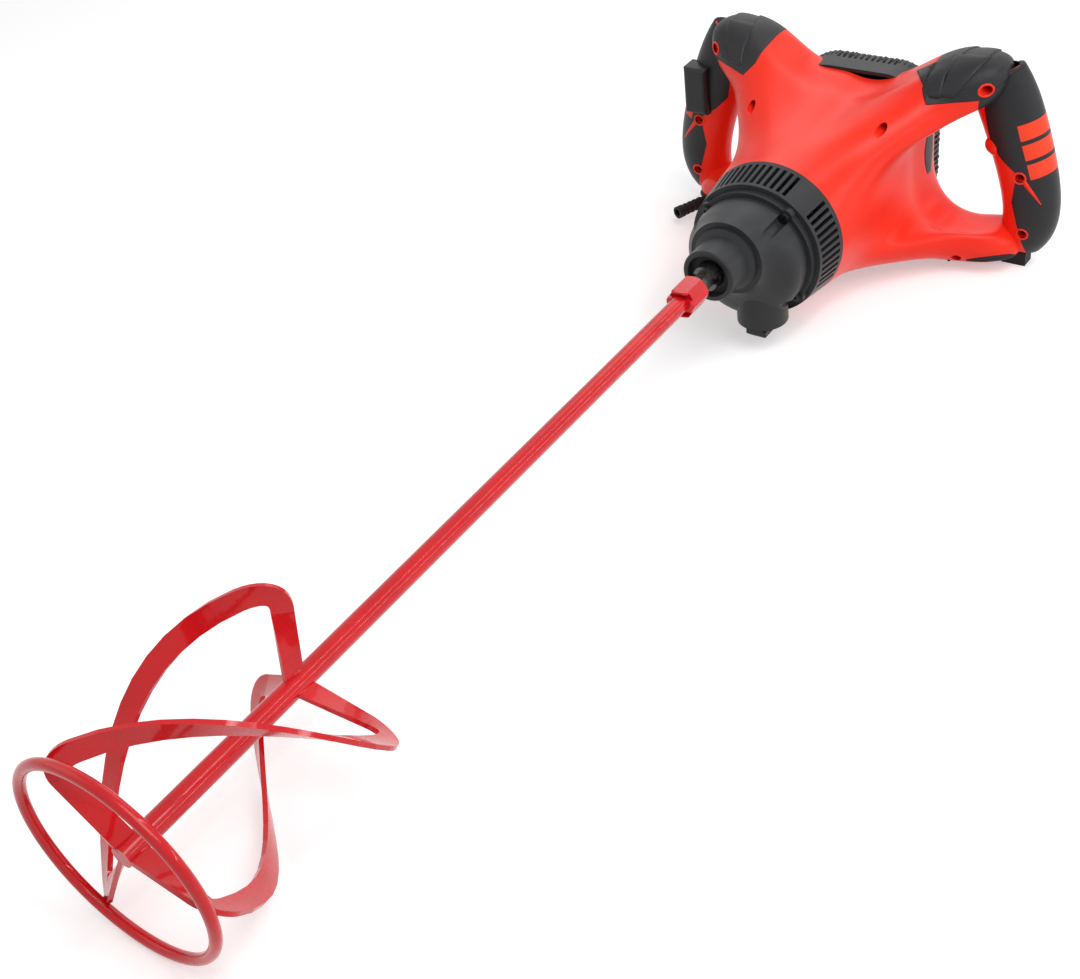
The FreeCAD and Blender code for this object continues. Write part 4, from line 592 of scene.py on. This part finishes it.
def cap_grip(node, planes, side):
    """Soft copy of a cap with its steps pressed in, as deep as the housing under it allows."""
    mesh = remeshed(node)
    backing = surface_of(*HOUSINGS)
    normals = [vertex.normal.copy() for vertex in mesh.vertices]
    for vertex, normal in zip(mesh.vertices, normals):
        room = backing.find_nearest(vertex.co)[3] - SKIN_LEAST
        if room < 0:
            continue
        place = tool_point(vertex.co)
        if side < 0:
            place = mirrored(place)
        depth = max(step_depth((place - start).dot(across)) for start, across in planes)
        vertex.co -= min(depth, room) * normal
    piece = add_piece(node + "_moulding", mesh, "housing", "grip_rubber")
    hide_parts(node)


def make_grips():
    """Both cap grips, the left one with the right one's steps mirrored."""
    planes = step_planes()
    cap_grip("right_cap_grip", planes, 1)
    cap_grip("left_cap_grip", planes, -1)


# Plates, vents, pad edges and the finger stop, laid on the housing where the photograph shows them

def along_pixels(line, share):
    """Pixel at a share of the way along a line of pixels."""
    place = share * (len(line) - 1)
    index = min(int(place), len(line) - 2)
    part = place - index
    return [here + (there - here) * part for here, there in zip(line[index], line[index + 1])]


def patch_hits(surface, first, second):
    """Rows of places and normals between two lines of pixels; a miss takes its neighbour's hit."""
    rows = []
    for row in range(PATCH_ROWS + 1):
        start = along_pixels(first, row / PATCH_ROWS)
        end = along_pixels(second, row / PATCH_ROWS)
        hits = []
        for column in range(PATCH_COLUMNS + 1):
            hits.append(photo_hit(surface, along_pixels((start, end), column / PATCH_COLUMNS)))
        met = [hit for hit in hits if hit[0] is not None]
        if not met:
            continue
        latest = met[0]
        filled = []
        for hit in hits:
            latest = hit if hit[0] is not None else latest
            filled.append(latest)
        rows.append(filled)
    return rows


def smooth_normal(rows, row, column):
    """Normal averaged over the neighbours in a patch."""
    total = Vector((0.0, 0.0, 0.0))
    for line in rows[max(row - NORMAL_WINDOW, 0):row + NORMAL_WINDOW + 1]:
        for place, normal in line[max(column - NORMAL_WINDOW, 0):column + NORMAL_WINDOW + 1]:
            total += normal
    return total.normalized()


def within_box(place):
    """Place held under the top of the CAD box and above the floor."""
    height = min(max(place.z, BOX_MARGIN), CAD_BOX[1][2] - BOX_MARGIN)
    return Vector((place.x, place.y, height))


def add_sides(shape, rings, sides):
    """Skin through rings given in the tool's own axes, on the right (1), the left (-1) or both."""
    for side in sides:
        placed = [[corner if side > 0 else mirrored(corner) for corner in ring] for ring in rings]
        add_rings(shape, [[within_box(scene_point(corner)) for corner in ring] for ring in placed], False)


def plate(shape, rows, lifts, sides):
    """Plate over rows of places, rising from the first place of each row to the last."""
    rings = []
    for row, line in enumerate(rows):
        upper = []
        lower = []
        for column, (place, normal) in enumerate(line):
            lift = lifts[0] + (lifts[1] - lifts[0]) * column / PATCH_COLUMNS
            if column in (0, PATCH_COLUMNS) or row in (0, len(rows) - 1):
                lift *= PATCH_BORDER_SHARE
            up = smooth_normal(rows, row, column)
            upper.append(tool_point(place + lift * up))
            lower.append(tool_point(place - PATCH_SINK * up))
        rings.append(upper + lower[::-1])
    add_sides(shape, rings, sides)


def photo_patch(shape, pixels, lifts, sides):
    """Plate on the housing between two lines of pixels."""
    rows = patch_hits(surface_of(*HOUSINGS), *pixels)
    plate(shape, rows, lifts, sides)


def cap_plates():
    """Overlapping plates on the caps, and the infill between the caps and the outer grips."""
    shape = bmesh.new()
    photo_patch(shape, CORNER_PLATE_PIXELS, CAP_PLATE_LIFTS, (1,))
    photo_patch(shape, CAP_PLATE_PIXELS, CAP_PLATE_LIFTS, (1, -1))
    photo_patch(shape, SEAM_PIXELS, SEAM_LIFTS, (1, -1))
    add_piece("cap_plates", finish_mesh("cap_plates", shape), "housing", "grip_rubber")


def vent_hits():
    """Rows of places and normals of a lens on the body's wall, seen from inside the right hand loop."""
    surface = surface_of(*HOUSINGS)
    centre = sum(VENT_EDGES) / 2
    half = (VENT_EDGES[1] - VENT_EDGES[0]) / 2
    rows = []
    for row in range(PATCH_ROWS + 1):
        share = row / PATCH_ROWS
        y = VENT_ENDS[0] + (VENT_ENDS[1] - VENT_ENDS[0]) * share
        width = math.sin(math.pi * (VENT_TAPER_SHARE + (1 - 2 * VENT_TAPER_SHARE) * share))
        line = []
        for column in range(PATCH_COLUMNS + 1):
            z = centre + half * width * (2 * column / PATCH_COLUMNS - 1)
            line.append(first_hit(surface, scene_point((LOOP_MIDDLE, y, z)), -TOOL_AXES[0]))
        rows.append(line)
    return rows


def side_vents():
    """Dark vents on the body's walls inside both hand loops."""
    shape = bmesh.new()
    plate(shape, vent_hits(), VENT_LIFTS, (1, -1))
    add_piece("side_vents", finish_mesh("side_vents", shape), "housing", "dark_plastic")


def pad_edges():
    """Dark strips along the front lower edge of the two lower arms."""
    surface = surface_of(*HOUSINGS)
    shape = bmesh.new()
    for line in PAD_EDGE_PIXELS:
        points = []
        normals = []
        radii = []
        for step in range(PAD_EDGE_STEPS + 1):
            share = step / PAD_EDGE_STEPS
            place, normal = photo_hit(surface, along_pixels(line, share))
            if place is None:
                continue
            points.append(tool_point(place - PAD_EDGE_SINK * normal))
            normals.append(tool_direction(normal))
            taper = min(1.0, PATCH_BORDER_SHARE + PAD_EDGE_TAPER * min(share, 1 - share))
            radii.append(PAD_EDGE_RADIUS * taper)
        rings = tube_rings(points, normals, radii, PAD_EDGE_SIDES, False)
        add_sides(shape, rings, (1, -1))
    add_piece("pad_edges", finish_mesh("pad_edges", shape), "housing", "soft_rubber")


def finger_stop():
    """Rounded stop for the finger on the inner edge of the right handle."""
    place = photo_hit(surface_of(*HOUSINGS), FINGER_STOP_PIXEL)[0]
    centre = tool_point(place) + Vector((0.0, 0.0, FINGER_STOP_DEPTH))
    shape = bmesh.new()
    bmesh.ops.create_uvsphere(shape, u_segments=FINGER_STOP_PARTS, v_segments=FINGER_STOP_PARTS, radius=1.0)
    for vertex in shape.verts:
        vertex.co = scene_point(centre + vertex.co * Vector(FINGER_STOP_SIZE))
    add_piece("finger_stop", finish_mesh("finger_stop", shape), "housing", "red_plastic")


# Red rims round the screw holes in the grips, and red flashes

def hole_rims():
    """Red rim round each housing screw's hole that lies in a grip."""
    grips = surface_of(*GRIPS)
    front = surface_of("front_housing", *GRIPS)
    shape = bmesh.new()
    for screw in islands("housing_screws"):
        centre = tool_point(middle(screw))
        points = []
        normals = []
        on_grip = 0
        for index in range(RIM_POINTS):
            angle = 2 * math.pi * index / RIM_POINTS
            x = centre.x + RIM_RADIUS * math.cos(angle)
            y = centre.y + RIM_RADIUS * math.sin(angle)
            place, normal = front_hit(front, x, y)
            grip_place = front_hit(grips, x, y)[0]
            if grip_place is not None and (grip_place - place).length < GRIP_SKIN:
                on_grip += 1
            points.append(place + RIM_SINK * TOOL_AXES[2])
            normals.append(normal)
        if on_grip < RIM_POINTS / 2:
            continue
        radii = [RIM_TUBE] * RIM_POINTS
        add_rings(shape, tube_rings(points, normals, radii, RIM_SIDES, True), True)
    add_piece("grip_hole_rims", finish_mesh("grip_hole_rims", shape), "housing", "red_plastic")


def flash_line():
    """Places and normals of the flash on the right grip, in the tool's own axes."""
    surface = surface_of("right_outer_grip", "front_housing")
    count = FLASH_STEPS * (len(FLASH_PIXELS) - 1)
    line = []
    for index in range(count):
        place, normal = photo_hit(surface, along_pixels(FLASH_PIXELS, index / count))
        line.append((tool_point(place), tool_direction(normal)))
    return line


def flash_strip(shape, line):
    """Tapered strip along a line of places, standing a little proud of the grip."""
    rings = []
    for index, (place, normal) in enumerate(line):
        share = index / (len(line) - 1)
        half = FLASH_START_HALF + (FLASH_END_HALF - FLASH_START_HALF) * share
        before = line[max(index - 1, 0)][0]
        after = line[min(index + 1, len(line) - 1)][0]
        across = (after - before).cross(normal).normalized()
        ring = [
            place + half * across - FLASH_SINK * normal,
            place + half * across + FLASH_PROUD / 2 * normal,
            place + FLASH_PROUD * normal,
            place - half * across + FLASH_PROUD / 2 * normal,
            place - half * across - FLASH_SINK * normal,
        ]
        rings.append([scene_point(corner) for corner in ring])
    add_rings(shape, rings, False)


def grip_flashes():
    """Red flash on each outer grip."""
    line = flash_line()
    shape = bmesh.new()
    flash_strip(shape, line)
    flash_strip(shape, [(mirrored(place), mirrored(normal)) for place, normal in line])
    add_piece("grip_flashes", finish_mesh("grip_flashes", shape), "housing", "red_plastic")


# Fine ribs round the rear cover

def cover_hit(surface, centre, angle, level):
    """Place and normal on the cover's side, at an angle round the tool's axis and a level along it."""
    inward = scene_direction((-math.cos(angle), -math.sin(angle), 0))
    start = scene_point((centre.x, centre.y, level)) - FAR * inward
    return first_hit(surface, start, inward)


def cover_rib(shape, surface, centre, angle, levels):
    """One rib along the cover's side, left out where its line misses the cover."""
    points = []
    normals = []
    for level in levels:
        place, normal = cover_hit(surface, centre, angle, level)
        if place is None:
            return
        points.append(place - COVER_RIB_SINK * normal)
        normals.append(normal)
    radii = [COVER_RIB_RADIUS] * len(points)
    add_rings(shape, tube_rings(points, normals, radii, COVER_RIB_SIDES, False), False)


def cover_ribs():
    """Ribs an even pitch apart round the cover, clear of the middle of its top and bottom."""
    low, high = tool_box("rear_motor_cover")
    centre = (low + high) / 2
    first = high.z - COVER_RIB_FRONT
    last = high.z - COVER_RIB_BACK
    levels = [first + (last - first) * step / (COVER_RIB_LEVELS - 1) for step in range(COVER_RIB_LEVELS)]
    surface = surface_of("rear_motor_cover")
    shape = bmesh.new()
    travelled = COVER_RIB_PITCH
    before = None
    for step in range(COVER_ANGLES):
        angle = 2 * math.pi * step / COVER_ANGLES
        place = cover_hit(surface, centre, angle, first)[0]
        if place is None:
            continue
        travelled += (place - before).length if before is not None else 0.0
        before = place
        if travelled >= COVER_RIB_PITCH and abs(place.x) > COVER_RIB_CLEAR:
            travelled = 0.0
            cover_rib(shape, surface, centre, angle, levels)
    add_piece("cover_ribs", finish_mesh("cover_ribs", shape), "housing", "dark_plastic")


# Wound return springs in place of the plain sleeves


def return_spring(node):
    """Coil of wire in the sleeve's place, riding on the housing."""
    low, high = tool_box(node)
    centre = (low + high) / 2
    length = high.z - low.z
    radius = (high.x - low.x) / 2 - SPRING_WIRE
    count = SPRING_TURNS * SPRING_TURN_POINTS
    points = []
    normals = []
    for index in range(count + 1):
        angle = 2 * math.pi * index / SPRING_TURN_POINTS
        height = low.z + SPRING_WIRE + (length - 2 * SPRING_WIRE) * index / count
        outward = Vector((math.cos(angle), math.sin(angle), 0.0))
        points.append(scene_point(Vector((centre.x, centre.y, height)) + radius * outward))
        normals.append(scene_direction(outward))
    shape = bmesh.new()
    radii = [SPRING_WIRE] * len(points)
    add_rings(shape, tube_rings(points, normals, radii, SPRING_SIDES, False), False)
    piece = add_piece(node + "_coil", finish_mesh(node + "_coil", shape), "housing", "bright_steel")
    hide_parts(node)
    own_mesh(piece)


def return_springs():
    """Springs of the trigger and the lock button."""
    return_spring("trigger_spring")
    return_spring("lock_button_spring")


# Weld beads where the blades meet the rod and the ring

def weld_bead(shape, points, seed):
    """Uneven bead along the longest run of a patch of places."""
    centre = middle(points)
    first = max(points, key=lambda point: (point - centre).length)
    second = max(points, key=lambda point: (point - first).length)
    centre = (first + second) / 2
    along = (second - first).normalized()
    reach = (second - first).length / 2
    line = []
    radii = []
    for index in range(WELD_RINGS):
        share = 2 * index / (WELD_RINGS - 1) - 1
        wave = field.noise(Vector((seed, index * WELD_WAVE_STEP, 0.0)))
        end = max(WELD_END_SHARE, 1 - share ** WELD_END_POWER)
        line.append(centre + reach * share * along)
        radii.append(WELD_RADIUS * (1 + WELD_WAVE_SHARE * wave) * end)
    side = along.orthogonal().normalized()
    add_rings(shape, tube_rings(line, [side] * WELD_RINGS, radii, WELD_SIDES, False), False)


def weld_beads():
    """A bead at each place where a blade meets the rod or the ring."""
    shape = bmesh.new()
    seats = {"paddle_rod": surface_of("paddle_rod"), "paddle_ring": surface_of("paddle_ring")}
    for blade in range(1, BLADE_COUNT + 1):
        vertices = [vertex.co.copy() for vertex in NODES["paddle_blade_%d" % blade].data.vertices]
        for seat, surface in seats.items():
            near = [place for place in vertices if surface.find_nearest(place)[3] < WELD_REACH]
            for upper in (True, False):
                patch = [place for place in near if (tool_point(place).z > WELD_PARTING) == upper]
                if patch:
                    weld_bead(shape, patch, WELD_SEED_STEP * blade + len(seat))
    add_piece("paddle_welds", finish_mesh("paddle_welds", shape), "spindle", "red_enamel")


# Stage

def seen_directly(nodes, links):
    """One for what the camera sees, by itself or in gloss and glass, and zero for other light."""
    path = nodes.new("ShaderNodeLightPath")
    seen = path.outputs["Is Camera Ray"]
    for ray in ("Is Glossy Ray", "Is Transmission Ray"):
        either = nodes.new("ShaderNodeMath")
        either.operation = "MAXIMUM"
        links.new(seen, either.inputs[0])
        links.new(path.outputs[ray], either.inputs[1])
        seen = either.outputs["Value"]
    return seen


def make_floor():
    """Plain pale floor that the camera sees white."""
    bpy.ops.mesh.primitive_plane_add(size=FLOOR_SIZE, location=(0.0, 0.0, 0.0))
    floor = bpy.context.object
    floor.name = "studio_floor"
    material, nodes, links, shader = new_material("studio_floor")
    vector = texture_place(nodes, links, EVEN)
    shade = noise(nodes, links, vector, FLOOR_NOISE_SCALE, FLOOR_NOISE_DETAIL)
    deep = tuple(value * FLOOR_DEEP_SHARE for value in FLOOR_COLOUR)
    links.new(mix_colour(nodes, links, shade, deep, FLOOR_COLOUR), shader.inputs["Base Color"])
    shader.inputs["Roughness"].default_value = FLOOR_ROUGHNESS
    glow = nodes.new("ShaderNodeMath")
    glow.operation = "MULTIPLY"
    glow.inputs[1].default_value = FLOOR_GLOW
    links.new(seen_directly(nodes, links), glow.inputs[0])
    links.new(glow.outputs["Value"], shader.inputs["Emission Strength"])
    shader.inputs["Emission Color"].default_value = WHITE
    floor.data.materials.append(material)


def area_light(name, place, target, size, power):
    """Square soft light that points at a target."""
    data = bpy.data.lights.new(name, "AREA")
    data.size = size
    data.energy = power
    light = bpy.data.objects.new(name, data)
    light.location = place
    light.rotation_mode = "QUATERNION"
    light.rotation_quaternion = (Vector(target) - Vector(place)).to_track_quat("-Z", "Y")
    bpy.context.scene.collection.objects.link(light)


def strip_light(name, angle):
    """Long narrow light beside the rod, which draws a line of gloss along it."""
    offset = STRIP_REACH * Vector((math.cos(angle), 0.0, math.sin(angle)))
    target = Vector((RING_CENTRE.x, STRIP_MIDDLE, RING_CENTRE.z))
    data = bpy.data.lights.new(name, "AREA")
    data.shape = "RECTANGLE"
    data.size = STRIP_WIDTH
    data.size_y = STRIP_LENGTH
    data.energy = STRIP_POWER
    light = bpy.data.objects.new(name, data)
    back = offset.normalized()
    along = Vector((0.0, 1.0, 0.0))
    turn = Matrix((along.cross(back), along, back)).transposed().to_4x4()
    light.matrix_world = Matrix.Translation(target + offset) @ turn
    bpy.context.scene.collection.objects.link(light)


def make_world():
    """White to the camera and in reflections, and a plain soft light for the rest."""
    world = bpy.data.worlds.new("studio")
    bpy.context.scene.world = world
    world.use_nodes = True
    nodes = world.node_tree.nodes
    links = world.node_tree.links
    strength = nodes.new("ShaderNodeMapRange")
    strength.inputs["To Min"].default_value = WORLD_STRENGTH
    strength.inputs["To Max"].default_value = 1.0
    links.new(seen_directly(nodes, links), strength.inputs["Value"])
    background = nodes["Background"]
    background.inputs["Color"].default_value = WHITE
    links.new(strength.outputs["Result"], background.inputs["Strength"])


def make_lights():
    """World, soft lights and strips."""
    make_world()
    for name, values in SOFT_LIGHTS.items():
        area_light(name, *values)
    for index, angle in enumerate(STRIP_ANGLES):
        strip_light("strip_%d" % (index + 1), angle)


def make_camera():
    """Camera of the photograph, in the scene's frame."""
    data = bpy.data.cameras.new("photo_camera")
    data.lens = CAMERA_LENS
    data.sensor_width = CAMERA_SENSOR
    data.clip_start, data.clip_end = CAMERA_CLIP
    camera = bpy.data.objects.new("photo_camera", data)
    right = scene_direction(CAMERA_RIGHT)
    up = -scene_direction(CAMERA_DOWN)
    back = -scene_direction(CAMERA_FORWARD)
    turn = Matrix((right, up, back)).transposed().to_4x4()
    camera.matrix_world = Matrix.Translation(scene_point(CAMERA_PLACE)) @ turn
    bpy.context.scene.collection.objects.link(camera)
    bpy.context.scene.camera = camera


bpy.context.scene.view_settings.view_transform = "Standard"
MATERIALS = make_materials()
dress_frame()
make_grips()
cap_plates()
side_vents()
pad_edges()
finger_stop()
hole_rims()
grip_flashes()
cover_ribs()
return_springs()
weld_beads()
make_floor()
make_lights()
make_camera()
